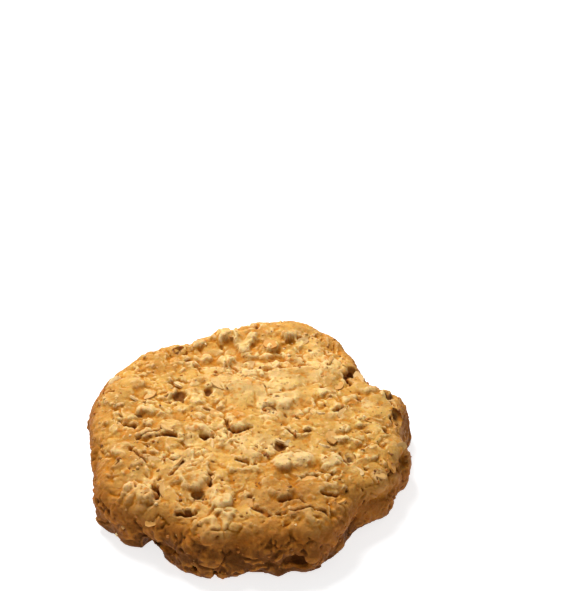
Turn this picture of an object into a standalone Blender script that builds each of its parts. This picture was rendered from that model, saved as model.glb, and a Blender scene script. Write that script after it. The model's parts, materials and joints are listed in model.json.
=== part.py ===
"""An oatmeal cookie, about 76 mm across and 15 mm thick, lying on its flat underside.

Metres, +Z up, origin at the middle of the underside. +X is the viewer's right and -Y is the side
towards the viewer. The cookie is one solid. Its round shape comes first, then the holes in its
wall and top, then the relief of the oat flakes that lie under the baked skin, and last the bare
flakes, which one Boolean union joins to it. Shapes are worked out in millimetres and written to
the meshes in metres.
"""

import math
import random

import bmesh
import bpy
import numpy as np
from mathutils import Matrix, Vector, noise

MM = 0.001

# The round shape, in millimetres. The wall stands out furthest at the waist.
MEAN_RADIUS = 37.2
THICKNESS = 13.6
WAIST_HEIGHT = 3.8
SHOULDER_POWERS = (14.0, 2.8)
FOOT_POWERS = (40.0, 4.0)

# How the outline leaves a circle: degrees round from +X, millimetres out, half width in degrees.
OUTLINE_SWELLS = (
    (0, -1.9, 8), (12, 0.9, 6), (32, -5.4, 14), (73, 4.3, 14), (90, 0.8, 8), (115, -1.0, 9), (152, 2.2, 20),
    (198, -0.8, 6), (212, 3.4, 12), (226, 1.0, 6), (242, -1.0, 4), (253, 1.6, 6), (267, -0.8, 6),
    (280, 1.2, 3), (291, 1.8, 5), (315, -3.5, 12), (338, -2.0, 8), (353, -1.0, 7),
)

# Holes cut from the dough: x, y, z of the middle, then half length, half width and half height,
# then the turn about Z in degrees.
HOLLOWS = (
    (-19.6, -30.4, 0.4, 6.4, 2.9, 4.0, 236), (-7.4, -38.2, 1.4, 3.2, 1.2, 2.6, 259),
    (10.4, -38.4, 5.0, 2.9, 2.9, 2.4, 286), (18.0, -34.8, 1.6, 2.6, 2.2, 1.8, 298),
    (23.4, 17.4, 13.6, 3.0, 2.0, 3.4, 60), (-18.4, 25.6, 13.6, 2.4, 1.8, 2.2, 100),
    (-11.0, -25.0, 13.8, 1.6, 1.4, 2.0, 20), (4.0, 3.2, 13.8, 1.4, 0.7, 1.5, 160),
    (22.0, -12.8, 13.6, 0.8, 2.2, 1.7, 15), (34.6, -9.6, 9.2, 1.8, 2.4, 2.6, 0),
    (33.8, 2.6, 12.0, 1.5, 2.0, 1.8, 30),
)

# Oat flakes and nut pieces under the skin that the eye picks out: x, y, half length, half width,
# turn in degrees, lift, then the rise along y towards the viewer in millimetres a millimetre.
TOP_PLATES = (
    (-3.2, 0.2, 4.4, 4.2, 20, 0.5, 0.10), (1.0, -9.0, 6.4, 5.4, -15, 0.6, 0.05),
    (9.6, -3.8, 4.6, 2.8, 15, 0.5, 0.14), (7.4, 6.6, 4.2, 3.2, 25, 0.6, 0.10),
    (9.2, -14.4, 6.0, 3.2, 22, 1.5, 0.10), (17.8, -14.4, 3.0, 3.0, 20, 1.2, 0.05),
    (-28.0, -11.0, 6.6, 2.6, -42, 0.9, 0.10), (-12.8, -19.4, 4.8, 4.6, 10, 0.9, 0.10),
    (-24.0, -24.2, 3.0, 3.2, 0, 1.5, 0.10), (-6.0, -26.0, 2.8, 6.4, 10, 1.0, 0.05),
    (-8.0, -34.4, 4.6, 3.4, -5, 1.3, 0.10), (-24.2, 3.2, 4.4, 3.4, 30, 0.5, 0.10),
    (-20.0, -4.8, 3.6, 2.4, -20, 0.5, 0.12), (-9.4, 13.6, 4.6, 3.0, -10, 0.5, 0.08),
    (7.6, 13.0, 5.2, 2.6, 5, 0.5, 0.06), (19.4, 5.8, 4.8, 3.0, -15, 0.5, 0.08),
    (26.6, 11.4, 3.8, 2.6, 0, 0.8, 0.12), (14.4, -22.8, 4.0, 2.4, 25, 0.5, 0.12),
    (13.4, -30.0, 4.8, 3.6, -20, 0.9, 0.14), (24.0, -6.4, 4.2, 3.0, 35, 0.4, 0.06),
    (-28.6, 13.4, 3.0, 2.6, 40, 0.6, 0.08), (2.2, 32.8, 6.4, 2.6, 0, 0.8, -0.06),
    (-24.6, 20.8, 3.0, 2.4, 30, 0.6, 0.0), (15.6, 23.4, 4.0, 2.2, -25, 0.6, 0.0),
    (-0.6, -16.6, 3.8, 1.8, 0, 0.5, 0.16), (-17.4, -12.6, 3.8, 2.0, 25, 0.5, 0.10),
    (24.0, -20.0, 5.2, 3.8, -40, 0.3, 0.04), (-12.2, 23.2, 2.6, 2.1, 0, 1.5, 0.10),
    (-6.2, 22.6, 2.8, 2.1, 15, 1.5, 0.10), (5.4, 20.4, 4.0, 1.7, 6, 1.6, 0.10),
    (3.0, 23.6, 2.1, 1.1, 4, 1.4, 0.10), (-7.0, 30.8, 3.8, 2.6, -20, 1.7, 0.06),
    (4.2, 26.8, 2.3, 1.7, 35, 1.3, 0.06), (-13.6, 8.6, 2.5, 2.1, 0, 0.9, 0.10),
    (-19.8, 15.2, 3.0, 2.2, 0, 0.6, 0.10),
)

# Bare oat flakes: x, y, half length, half width, turn, then tilt about the flake's own length.
BARE_FLAKES = (
    (-16.6, -15.2, 3.0, 1.4, 58, 28), (-14.2, -15.8, 2.4, 1.0, 58, 20), (-18.8, -23.4, 2.6, 1.4, 80, 50),
    (-12.0, -4.8, 2.5, 1.2, 8, 24), (-17.4, 12.2, 1.9, 1.3, 60, 30), (-27.2, 6.8, 1.8, 1.1, -20, 24),
    (18.2, 20.8, 3.2, 1.2, -20, 50), (11.6, 30.4, 2.4, 1.0, 84, 50), (-8.0, 11.8, 2.3, 1.7, 15, 16),
    (33.8, -7.6, 2.7, 1.2, 88, -30), (-17.8, -29.2, 2.5, 1.3, 30, 55), (31.4, -12.8, 2.0, 1.3, -40, 30),
    (-32.6, 14.2, 1.8, 1.2, 70, 50), (6.6, -7.6, 1.5, 1.1, 20, 26), (16.4, -9.2, 1.4, 0.9, -40, 30),
    (-2.0, 20.6, 2.4, 1.2, -6, 20), (25.0, 15.2, 2.6, 1.1, 80, 55), (32.2, 8.6, 1.3, 1.0, 10, 20),
    (19.6, -25.8, 1.6, 1.1, 30, 30), (28.4, -17.0, 1.8, 1.2, 30, 14), (21.0, 2.0, 1.8, 1.1, 30, 20),
)

# Flakes strewn by rule. The larger ones go down first, so that the smaller ones show on them.
TOP_STREW_COUNT = 170
TOP_STREW_RADIUS = 34.5
WALL_STREW_COUNT = 130
WALL_STREW_HEIGHTS = (1.5, 12.0)
STREWN_HALF_LENGTHS = (3.6, 1.4)
STREWN_SLIMNESS = (0.5, 0.9)
STREWN_LIFTS = (0.12, 0.5)
BARE_STREW_COUNT = 24
BARE_STREW_RADIUS = 31.0
BARE_HALF_LENGTHS = (1.3, 2.2)
BARE_FLAKE_THICKNESS = 0.9
SEED = 11

# The dip behind the ridge that crosses the far third of the top.
DIP_LINE_Y = 17.6
DIP_LINE_BEND = 0.009
DIP_DEPTH = 2.0
DIP_LENGTH = 15.0
DIP_HALF_WIDTH = 25.0

# Lumps of dough, and the cobbles and creases between them: sizes and heights.
LUMP_SIZE, LUMP_HEIGHT = 15.0, 0.75
SMALL_LUMP_SIZE, SMALL_LUMP_HEIGHT = 7.0, 0.45
COBBLE_SIZE, COBBLE_HEIGHT = 6.0, 0.55
CREASE_WIDTH, CREASE_DEPTH = 0.22, 0.35
EDGE_WANDER_SIZE, EDGE_WANDER = 2.6, 1.1

# Mesh sizes
FINE_STEP = 0.7
DOUGH_TRIANGLES = 8800
FLAT_BELOW = 0.4

DOUGH_COLOUR = (0.60, 0.33, 0.11, 1.0)


def clear_scene():
    for obj in list(bpy.data.objects):
        bpy.data.objects.remove(obj)


def new_collection(name):
    collection = bpy.data.collections.new(name)
    bpy.context.scene.collection.children.link(collection)
    return collection


def link_mesh(bm, name, collection):
    mesh = bpy.data.meshes.new(name)
    bm.to_mesh(mesh)
    bm.free()
    obj = bpy.data.objects.new(name, mesh)
    collection.objects.link(obj)
    return obj


def apply_modifiers(obj):
    """Keeps what the modifiers make as the object's own mesh."""
    graph = bpy.context.evaluated_depsgraph_get()
    made = bpy.data.meshes.new_from_object(obj.evaluated_get(graph))
    obj.modifiers.clear()
    obj.data = made


def remove_collection(collection):
    for obj in list(collection.objects):
        bpy.data.objects.remove(obj)
    bpy.data.collections.remove(collection)


def smooth_step(low, high, values):
    share = np.clip((values - low) / (high - low), 0.0, 1.0)
    return share * share * (3.0 - 2.0 * share)


def outline_radius(angle):
    """How far the wall stands out at the waist for an angle in radians."""
    degrees = math.degrees(angle)
    radius = MEAN_RADIUS
    for centre, out, half_width in OUTLINE_SWELLS:
        away = (degrees - centre + 180.0) % 360.0 - 180.0
        radius += out * math.exp(-((away / half_width) ** 2))
    return radius


def top_point(x, y):
    """The point of the round shape's top above a place."""
    across, along = SHOULDER_POWERS
    share = min(math.hypot(x, y) / outline_radius(math.atan2(y, x)), 0.995)
    rise = (1.0 - share**across) ** (1.0 / along)
    return np.array((x, y, WAIST_HEIGHT + (THICKNESS - WAIST_HEIGHT) * rise))


def wall_point(angle, height):
    """The point of the round shape's wall at an angle in radians."""
    across, along = SHOULDER_POWERS
    rise = max((height - WAIST_HEIGHT) / (THICKNESS - WAIST_HEIGHT), 0.0)
    radius = outline_radius(angle) * (1.0 - rise**along) ** (1.0 / across)
    return np.array((radius * math.cos(angle), radius * math.sin(angle), height))


def skin_normal(point):
    """The outward direction of the round shape at a point on its upper part."""
    across, along = SHOULDER_POWERS
    angle = math.atan2(point[1], point[0])
    radius = outline_radius(angle)
    share = min(math.hypot(point[0], point[1]) / radius, 1.0)
    rise = max((point[2] - WAIST_HEIGHT) / (THICKNESS - WAIST_HEIGHT), 0.0)
    out = across * share ** (across - 1.0) / radius
    up = along * rise ** (along - 1.0) / (THICKNESS - WAIST_HEIGHT)
    normal = np.array((out * math.cos(angle), out * math.sin(angle), up))
    return normal / np.linalg.norm(normal)


def round_shape(collection):
    """The plain cookie: a UV sphere drawn out to a thick disc with soft shoulders and a flat foot."""
    bm = bmesh.new()
    bmesh.ops.create_uvsphere(bm, u_segments=192, v_segments=96, radius=1.0)
    for vertex in bm.verts:
        x, y, z = vertex.co
        across, along = SHOULDER_POWERS if z > 0.0 else FOOT_POWERS
        angle = math.atan2(y, x)
        radius = outline_radius(angle) * math.hypot(x, y) ** (2.0 / across)
        tall = THICKNESS - WAIST_HEIGHT if z > 0.0 else -WAIST_HEIGHT
        height = WAIST_HEIGHT + tall * abs(z) ** (2.0 / along)
        vertex.co = Vector((radius * math.cos(angle), radius * math.sin(angle), height)) * MM
    return link_mesh(bm, "oatmeal_cookie", collection)


def add_cutters(collection):
    """An uneven egg for each hole, so that no hole has a smooth wall."""
    for number, (x, y, z, long, wide, tall, turn) in enumerate(HOLLOWS):
        bm = bmesh.new()
        bmesh.ops.create_icosphere(bm, subdivisions=4, radius=1.0)
        for vertex in bm.verts:
            vertex.co *= 1.0 + 0.28 * noise.noise(vertex.co * 1.6 + Vector((number * 3.1, 0.0, 0.0)))
        size = Matrix.Diagonal((long * MM, wide * MM, tall * MM, 1.0))
        place = Matrix.Translation((x * MM, y * MM, z * MM)) @ Matrix.Rotation(math.radians(turn), 4, "Z")
        bm.transform(place @ size)
        cutter = link_mesh(bm, f"hollow_{number}", collection)
        cutter.hide_render = True
        cutter.display_type = "WIRE"


def cut_hollows(cookie, cutters):
    """Cuts the holes and gives the dough an even fine mesh."""
    cut = cookie.modifiers.new("hollows", "BOOLEAN")
    cut.operation = "DIFFERENCE"
    cut.operand_type = "COLLECTION"
    cut.collection = cutters
    cut.solver = "MANIFOLD"
    even = cookie.modifiers.new("even mesh", "REMESH")
    even.mode = "VOXEL"
    even.voxel_size = FINE_STEP * MM
    apply_modifiers(cookie)
    remove_collection(cutters)


class Plate:
    """An oat flake under the skin: where it lies, how it is turned, and how it lifts the dough."""

    def __init__(self, point, half_length, half_width, turn, lift, lean):
        self.point = point
        self.normal = skin_normal(point)
        guide = np.array((1.0, 0.0, 0.0)) if self.normal[2] > 0.7 else np.array((0.0, 0.0, 1.0))
        flat = guide - self.normal * guide.dot(self.normal)
        flat /= np.linalg.norm(flat)
        side = np.cross(self.normal, flat)
        turn = math.radians(turn)
        self.along = (math.cos(turn) * flat + math.sin(turn) * side) / half_length
        self.across = (math.cos(turn) * side - math.sin(turn) * flat) / half_width
        self.lift = lift
        self.lean = np.array(lean)


def strewn_plate(draw, point, share, leans):
    """A flake of random shape. share runs from 0 for the first and largest to 1 for the last."""
    first, last = STREWN_HALF_LENGTHS
    half_length = first + (last - first) * share
    half_width = half_length * draw.uniform(*STREWN_SLIMNESS)
    turn = draw.uniform(0.0, 180.0)
    lift = draw.uniform(*STREWN_LIFTS)
    lean = [draw.uniform(low, high) for low, high in leans]
    return Plate(point, half_length, half_width, turn, lift, lean)


def all_plates(draw):
    """The strewn flakes of the top and wall, then the ones that the eye picks out."""
    plates = []
    for number in range(TOP_STREW_COUNT):
        radius = TOP_STREW_RADIUS * math.sqrt(draw.random())
        angle = draw.uniform(0.0, 2.0 * math.pi)
        point = top_point(radius * math.cos(angle), radius * math.sin(angle))
        leans = ((-0.12, 0.12), (-0.2, 0.06), (0.0, 0.0))
        plates.append(strewn_plate(draw, point, number / TOP_STREW_COUNT, leans))
    for number in range(WALL_STREW_COUNT):
        point = wall_point(draw.uniform(0.0, 2.0 * math.pi), draw.uniform(*WALL_STREW_HEIGHTS))
        leans = ((-0.1, 0.1), (-0.1, 0.1), (-0.1, 0.1))
        plates.append(strewn_plate(draw, point, number / WALL_STREW_COUNT, leans))
    for x, y, half_length, half_width, turn, lift, rise in TOP_PLATES:
        plates.append(Plate(top_point(x, y), half_length, half_width, turn, lift, (0.0, -rise, 0.0)))
    return plates


def noise_at(points, size, shift):
    scaled = points / size + shift
    return np.array([noise.noise(Vector(place)) for place in scaled])


def dough_relief(points, normals, bent):
    """The lumps, cobbles and creases of the dough, and the dip behind the ridge."""
    height = LUMP_HEIGHT * noise_at(points, LUMP_SIZE, 0.0)
    height += SMALL_LUMP_HEIGHT * noise_at(points, SMALL_LUMP_SIZE, 9.0)
    behind = 0.5 * (points[:, 1] + bent[:, 1]) - (DIP_LINE_Y + DIP_LINE_BEND * points[:, 0] ** 2)
    fall = smooth_step(-0.6, 1.2, behind) * (1.0 - smooth_step(3.0, DIP_LENGTH, behind))
    inside = 1.0 - smooth_step(DIP_HALF_WIDTH - 6.0, DIP_HALF_WIDTH, np.abs(points[:, 0]))
    height -= DIP_DEPTH * fall * inside * smooth_step(0.55, 0.9, normals[:, 2])
    distances = np.array([noise.voronoi(Vector(place))[0][:2] for place in bent / COBBLE_SIZE + 2.0])
    height += COBBLE_HEIGHT * (0.5 - np.minimum(distances[:, 0], 1.0))
    crease = 1.0 - smooth_step(0.0, CREASE_WIDTH, distances[:, 1] - distances[:, 0])
    height -= CREASE_DEPTH * crease * smooth_step(-0.1, 0.3, noise_at(points, COBBLE_SIZE, 50.0))
    return height


def press_plate(height, plate, bent, normals):
    """Lifts the skin to one flake's level where the flake reaches, and never much below what is there."""
    offset = bent - plate.point
    reach = np.hypot(offset @ plate.along, offset @ plate.across)
    near = (reach < 1.26) & (np.abs(offset @ plate.normal) < 3.0) & (normals @ plate.normal > 0.45)
    if not near.any():
        return
    reach = reach[near]
    under = height[near]
    level = np.median(under) + plate.lift * (1.0 - 0.25 * reach**2) + offset[near] @ plate.lean
    rise = level - under
    height[near] = under + np.maximum(rise, 0.12 * rise) * (1.0 - smooth_step(0.86, 1.08, reach))


def raise_relief(cookie, plates):
    """Moves the skin along its normals by the relief and leaves the underside flat."""
    mesh = cookie.data
    points = np.empty(len(mesh.vertices) * 3)
    normals = np.empty(len(mesh.vertices) * 3)
    mesh.vertices.foreach_get("co", points)
    mesh.vertex_normals.foreach_get("vector", normals)
    points = points.reshape(-1, 3) / MM
    normals = normals.reshape(-1, 3)
    wander = np.column_stack([noise_at(points, EDGE_WANDER_SIZE, shift) for shift in (3.1, 17.7, 31.9)])
    bent = points + EDGE_WANDER * wander
    height = dough_relief(points, normals, bent)
    for plate in plates:
        press_plate(height, plate, bent, normals)
    height *= smooth_step(0.0, 1.6, points[:, 2])
    moved = points + normals * height[:, None]
    moved[moved[:, 2] < FLAT_BELOW, 2] = 0.0
    mesh.vertices.foreach_set("co", (moved * MM).ravel())
    mesh.update()


def thin_out(cookie):
    """Fewer triangles, most of them left where the relief is."""
    triangles = sum(len(face.vertices) - 2 for face in cookie.data.polygons)
    thin = cookie.modifiers.new("fewer faces", "DECIMATE")
    thin.ratio = DOUGH_TRIANGLES / triangles
    apply_modifiers(cookie)
    for vertex in cookie.data.vertices:
        if vertex.co.z < FLAT_BELOW * MM:
            vertex.co.z = 0.0


def bare_flake(collection, cookie, name, x, y, half_length, half_width, turn, tilt):
    """An oat flake that shows: a flat seven-sided disc, half sunk in the dough."""
    bm = bmesh.new()
    thickness = BARE_FLAKE_THICKNESS * MM
    bmesh.ops.create_cone(bm, cap_ends=True, segments=7, radius1=1.0, radius2=0.86, depth=thickness)
    bm.transform(Matrix.Diagonal((half_length * MM, half_width * MM, 1.0, 1.0)))
    above = Vector((x * MM, y * MM, 2.0 * THICKNESS * MM))
    _, point, normal, _ = cookie.ray_cast(above, Vector((0.0, 0.0, -1.0)))
    lean = normal.slerp(Vector((0.0, 0.0, 1.0)), 0.5).to_track_quat("Z", "X").to_matrix().to_4x4()
    spin = Matrix.Rotation(math.radians(turn), 4, "Z") @ Matrix.Rotation(math.radians(tilt), 4, "X")
    bm.transform(Matrix.Translation(point) @ lean @ spin)
    link_mesh(bm, name, collection)


def add_bare_flakes(collection, cookie, draw):
    """The flakes picked out by hand, then some more, spread evenly as on a sunflower head."""
    for number, values in enumerate(BARE_FLAKES):
        bare_flake(collection, cookie, f"flake_{number}", *values)
    golden_turn = math.pi * (3.0 - math.sqrt(5.0))
    for number in range(BARE_STREW_COUNT):
        radius = BARE_STREW_RADIUS * math.sqrt((number + 0.5) / BARE_STREW_COUNT)
        angle = number * golden_turn + 0.7
        x = radius * math.cos(angle) + draw.uniform(-1.5, 1.5)
        y = radius * math.sin(angle) + draw.uniform(-1.5, 1.5)
        half_length = draw.uniform(*BARE_HALF_LENGTHS)
        half_width = half_length * draw.uniform(0.55, 0.8)
        turn, tilt = draw.uniform(0.0, 180.0), draw.uniform(8.0, 30.0)
        bare_flake(collection, cookie, f"strewn_{number}", x, y, half_length, half_width, turn, tilt)


def fuse(cookie, pieces):
    """One Boolean union joins the bare flakes to the dough."""
    join = cookie.modifiers.new("bare flakes", "BOOLEAN")
    join.operation = "UNION"
    join.operand_type = "COLLECTION"
    join.collection = pieces
    join.solver = "MANIFOLD"
    apply_modifiers(cookie)
    remove_collection(pieces)


def keep_outer_shell(cookie):
    """Fills the pockets that the flakes close off and drops any scrap that came loose."""
    bm = bmesh.new()
    bm.from_mesh(cookie.data)
    left = set(bm.verts)
    shells = []
    while left:
        shell = set()
        waiting = [left.pop()]
        while waiting:
            vertex = waiting.pop()
            shell.add(vertex)
            for edge in vertex.link_edges:
                neighbour = edge.other_vert(vertex)
                if neighbour in left:
                    left.remove(neighbour)
                    waiting.append(neighbour)
        shells.append(shell)
    largest = max(shells, key=len)
    bmesh.ops.delete(bm, geom=[vertex for vertex in bm.verts if vertex not in largest], context="VERTS")
    bm.to_mesh(cookie.data)
    bm.free()


def centre_on_origin(cookie):
    """Puts the middle of the cookie's box over the origin."""
    places = np.array([vertex.co for vertex in cookie.data.vertices])
    middle = (places.min(axis=0) + places.max(axis=0)) / 2.0
    cookie.data.transform(Matrix.Translation((-middle[0], -middle[1], 0.0)))
    print("middle of the box before centring, mm:", middle[:2] / MM)


def dough_material():
    material = bpy.data.materials.new("baked_dough")
    material.use_nodes = True
    shader = material.node_tree.nodes["Principled BSDF"]
    shader.inputs["Base Color"].default_value = DOUGH_COLOUR
    shader.inputs["Roughness"].default_value = 0.7
    shader.inputs["Metallic"].default_value = 0.0
    return material


def main():
    clear_scene()
    draw = random.Random(SEED)
    cookie = round_shape(new_collection("cookie_parts"))
    cutters = new_collection("hollows")
    add_cutters(cutters)
    cut_hollows(cookie, cutters)
    raise_relief(cookie, all_plates(draw))
    thin_out(cookie)
    bpy.context.view_layer.update()
    pieces = new_collection("bare_flakes")
    add_bare_flakes(pieces, cookie, draw)
    fuse(cookie, pieces)
    keep_outer_shell(cookie)
    centre_on_origin(cookie)
    cookie.data.materials.clear()
    cookie.data.materials.append(dough_material())
    print("triangles:", sum(len(face.vertices) - 2 for face in cookie.data.polygons))


main()
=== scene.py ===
# %% [markdown]
# An oatmeal cookie: thick, round, baked on a flat tray, with oat flakes and bits of nut in it.
# The solid cookie is loaded first. It gives the true size and place, and everything below is
# fitted to it. One finely shaped piece of dough takes its place, and bare flakes and crumbs of
# their own lie on that, because they have their own colours and crisp edges.

# %% Load the solid cookie
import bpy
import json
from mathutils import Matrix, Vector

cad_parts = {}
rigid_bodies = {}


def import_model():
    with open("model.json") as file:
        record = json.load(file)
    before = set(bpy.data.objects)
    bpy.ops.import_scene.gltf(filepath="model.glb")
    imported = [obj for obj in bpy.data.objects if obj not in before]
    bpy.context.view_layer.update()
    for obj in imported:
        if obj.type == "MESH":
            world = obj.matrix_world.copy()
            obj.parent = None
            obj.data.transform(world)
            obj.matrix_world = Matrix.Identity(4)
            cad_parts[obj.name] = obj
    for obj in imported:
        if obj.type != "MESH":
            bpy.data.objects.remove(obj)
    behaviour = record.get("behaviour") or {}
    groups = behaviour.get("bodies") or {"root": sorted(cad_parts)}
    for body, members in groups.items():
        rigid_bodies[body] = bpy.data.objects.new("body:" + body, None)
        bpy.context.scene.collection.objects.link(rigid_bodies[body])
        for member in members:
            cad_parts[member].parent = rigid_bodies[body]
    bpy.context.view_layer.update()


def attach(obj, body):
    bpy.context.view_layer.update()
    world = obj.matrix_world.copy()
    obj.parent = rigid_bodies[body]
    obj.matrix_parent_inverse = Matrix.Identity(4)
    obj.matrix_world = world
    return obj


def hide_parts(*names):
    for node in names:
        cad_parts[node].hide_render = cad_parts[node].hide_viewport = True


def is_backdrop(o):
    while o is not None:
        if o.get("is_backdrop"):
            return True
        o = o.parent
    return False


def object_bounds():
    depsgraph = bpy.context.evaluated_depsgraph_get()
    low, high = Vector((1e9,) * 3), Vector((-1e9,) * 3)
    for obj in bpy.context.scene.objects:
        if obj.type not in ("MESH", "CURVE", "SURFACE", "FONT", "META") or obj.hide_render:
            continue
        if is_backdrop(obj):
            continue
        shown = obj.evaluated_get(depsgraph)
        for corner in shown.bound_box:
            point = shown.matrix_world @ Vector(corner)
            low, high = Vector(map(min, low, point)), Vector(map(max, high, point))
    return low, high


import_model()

# %% Modules and units
import json
import math
import random

import bpy
import numpy as np
from mathutils import Matrix, Vector, noise

MM = 0.001
FULL_TURN = 2.0 * math.pi
NODE = "oatmeal_cookie"
SEED = 11

# %% [markdown]
# The camera looks down on the cookie from the front, with a long lens, as for a picture of food
# on a white table. The lens and the sensor give the angle of view, and the camera has no roll.

# %% Camera
CAMERA_PLACE = Vector((9.82, -284.88, 260.62)) * MM
CAMERA_PITCH = math.radians(36.8)
camera_data = bpy.data.cameras.new("camera")
camera_data.lens = 100.0
camera_data.sensor_width = 36.0
camera = bpy.data.objects.new("camera", camera_data)
camera.location = CAMERA_PLACE
camera.rotation_euler = (math.pi / 2.0 - CAMERA_PITCH, 0.0, 0.0)
bpy.context.scene.collection.objects.link(camera)
bpy.context.scene.camera = camera
print("camera", round(camera.location.length, 3), "m from the cookie")

# %% [markdown]
# A white table, one large soft lamp above and behind the cookie, and an even pale sky. The lamp
# behind makes every lump show, because its light skims over the top and leaves the near side of
# each lump, and the cookie's near wall, in shade.

# %% Table, lamp and sky
LAMP_PLACE = Vector((-0.105, 0.175, 0.36))
LAMP_SIZE = 0.16
LAMP_POWER = 2.15
SKY_STRENGTH = 0.28
scene = bpy.context.scene
scene.view_settings.view_transform = "Standard"

lamp_data = bpy.data.lights.new("soft_lamp", "AREA")
lamp_data.shape = "SQUARE"
lamp_data.size = LAMP_SIZE
lamp_data.energy = LAMP_POWER
lamp = bpy.data.objects.new("soft_lamp", lamp_data)
lamp.location = LAMP_PLACE
lamp.rotation_euler = (-LAMP_PLACE).to_track_quat("-Z", "Y").to_euler()
scene.collection.objects.link(lamp)

sky = bpy.data.worlds.new("pale_sky")
sky.use_nodes = True
sky.node_tree.nodes["Background"].inputs["Color"].default_value = (1.0, 1.0, 1.0, 1.0)
sky.node_tree.nodes["Background"].inputs["Strength"].default_value = SKY_STRENGTH
scene.world = sky
print("lamp", LAMP_POWER, "W, sky", SKY_STRENGTH)

# %% [markdown]
# Blender's operators act on all that is selected, and loading the solid leaves it selected. So
# each step first clears the selection and picks its own piece. Modifiers are applied as soon as
# a piece has them, and the vertices of a piece are read and written as one array in millimetres,
# which is fast enough for a hundred thousand of them.

# %% Helpers for pieces
def deselect_all():
    if bpy.context.mode != "OBJECT":
        bpy.ops.object.mode_set(mode="OBJECT")
    bpy.ops.object.select_all(action="DESELECT")


def pick(piece):
    deselect_all()
    piece.select_set(True)
    bpy.context.view_layer.objects.active = piece


def apply_modifiers(piece):
    pick(piece)
    for modifier in list(piece.modifiers):
        bpy.ops.object.modifier_apply(modifier=modifier.name)


def read_places(piece):
    places = np.empty(len(piece.data.vertices) * 3)
    piece.data.vertices.foreach_get("co", places)
    return places.reshape(-1, 3) / MM


def write_places(piece, places):
    piece.data.vertices.foreach_set("co", (places * MM).ravel())
    piece.data.update()


def read_normals(piece):
    normals = np.empty(len(piece.data.vertices) * 3)
    piece.data.vertex_normals.foreach_get("vector", normals)
    return normals.reshape(-1, 3)


def store(piece, name, values):
    layer = piece.data.attributes.new(name, "FLOAT", "POINT")
    layer.data.foreach_set("value", values.astype(np.float32))


def select_faces(piece, chosen):
    """Selects the faces whose centre passes a test, ready for edit mode."""
    pick(piece)
    mesh = piece.data
    for part in (mesh.vertices, mesh.edges, mesh.polygons):
        part.foreach_set("select", [False] * len(part))
    for face in mesh.polygons:
        face.select = chosen(face.center / MM, face.normal)
    bpy.ops.object.mode_set(mode="EDIT")
    bpy.ops.mesh.select_mode(type="FACE")


def smooth_step(low, high, values):
    share = np.clip((values - low) / (high - low), 0.0, 1.0)
    return share * share * (3.0 - 2.0 * share)


def noise_at(places, size, shift):
    scaled = places / size + shift
    return np.array([noise.noise(Vector(place)) for place in scaled])


def cells_at(places, size, shift):
    """Distances to the nearest and the second nearest point of a random net."""
    scaled = places / size + shift
    found = np.array([noise.voronoi(Vector(place))[0][:2] for place in scaled])
    return found[:, 0], found[:, 1]

# %% [markdown]
# The dough is a ball pressed flat before baking, so its plain shape is a thick disc with a soft
# shoulder and a flat foot. A sphere can be drawn out to that by one formula, a superellipse, and
# the outline is a circle with a few swells, which are the same as those of the solid cookie.

# %% The plain disc
MEAN_RADIUS = 37.2
THICKNESS = 13.6
WAIST_HEIGHT = 3.8
SHOULDER_POWERS = (14.0, 2.8)
FOOT_POWERS = (40.0, 4.0)
# Swells of the outline: direction in degrees, how far out, half width in degrees
OUTLINE_SWELLS = (
    (0, -1.9, 8), (12, 0.9, 6), (32, -5.4, 14), (73, 4.3, 14), (90, 0.8, 8), (115, -1, 9),
    (152, 2.2, 20), (198, -0.8, 6), (212, 3.4, 12), (226, 1, 6), (242, -0.2, 4), (253, 1.6, 6),
    (267, -0.8, 6), (280, 1.2, 3), (291, 1.8, 5), (315, -3.5, 12), (338, -2, 8), (353, -1, 7),
)


def outline_radius(angle):
    degrees = np.degrees(angle)
    radius = np.full_like(degrees, MEAN_RADIUS)
    for centre, out, half_width in OUTLINE_SWELLS:
        away = (degrees - centre + 180.0) % 360.0 - 180.0
        radius += out * np.exp(-((away / half_width) ** 2))
    return radius


bpy.ops.object.select_all(action="DESELECT")
bpy.ops.mesh.primitive_uv_sphere_add(segments=192, ring_count=96, radius=MM)
dough = bpy.context.object
dough.name = "dough"
ball = read_places(dough)
upper = ball[:, 2] > 0.0
angle = np.arctan2(ball[:, 1], ball[:, 0])
across = np.where(upper, SHOULDER_POWERS[0], FOOT_POWERS[0])
along = np.where(upper, SHOULDER_POWERS[1], FOOT_POWERS[1])
radius = outline_radius(angle) * np.hypot(ball[:, 0], ball[:, 1]) ** (2.0 / across)
tall = np.where(upper, THICKNESS - WAIST_HEIGHT, -WAIST_HEIGHT)
height = WAIST_HEIGHT + tall * np.abs(ball[:, 2]) ** (2.0 / along)
write_places(dough, np.column_stack([radius * np.cos(angle), radius * np.sin(angle), height]))
print("plain disc", dough.dimensions[:])

# %% [markdown]
# Pieces of dough have broken away at the foot, and steam has opened holes in the wall and in the
# top. Each is cut with an uneven egg and a Boolean modifier, so that light falls into a real
# hollow. A voxel remesh then gives the whole skin small even faces for the fine relief.

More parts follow.
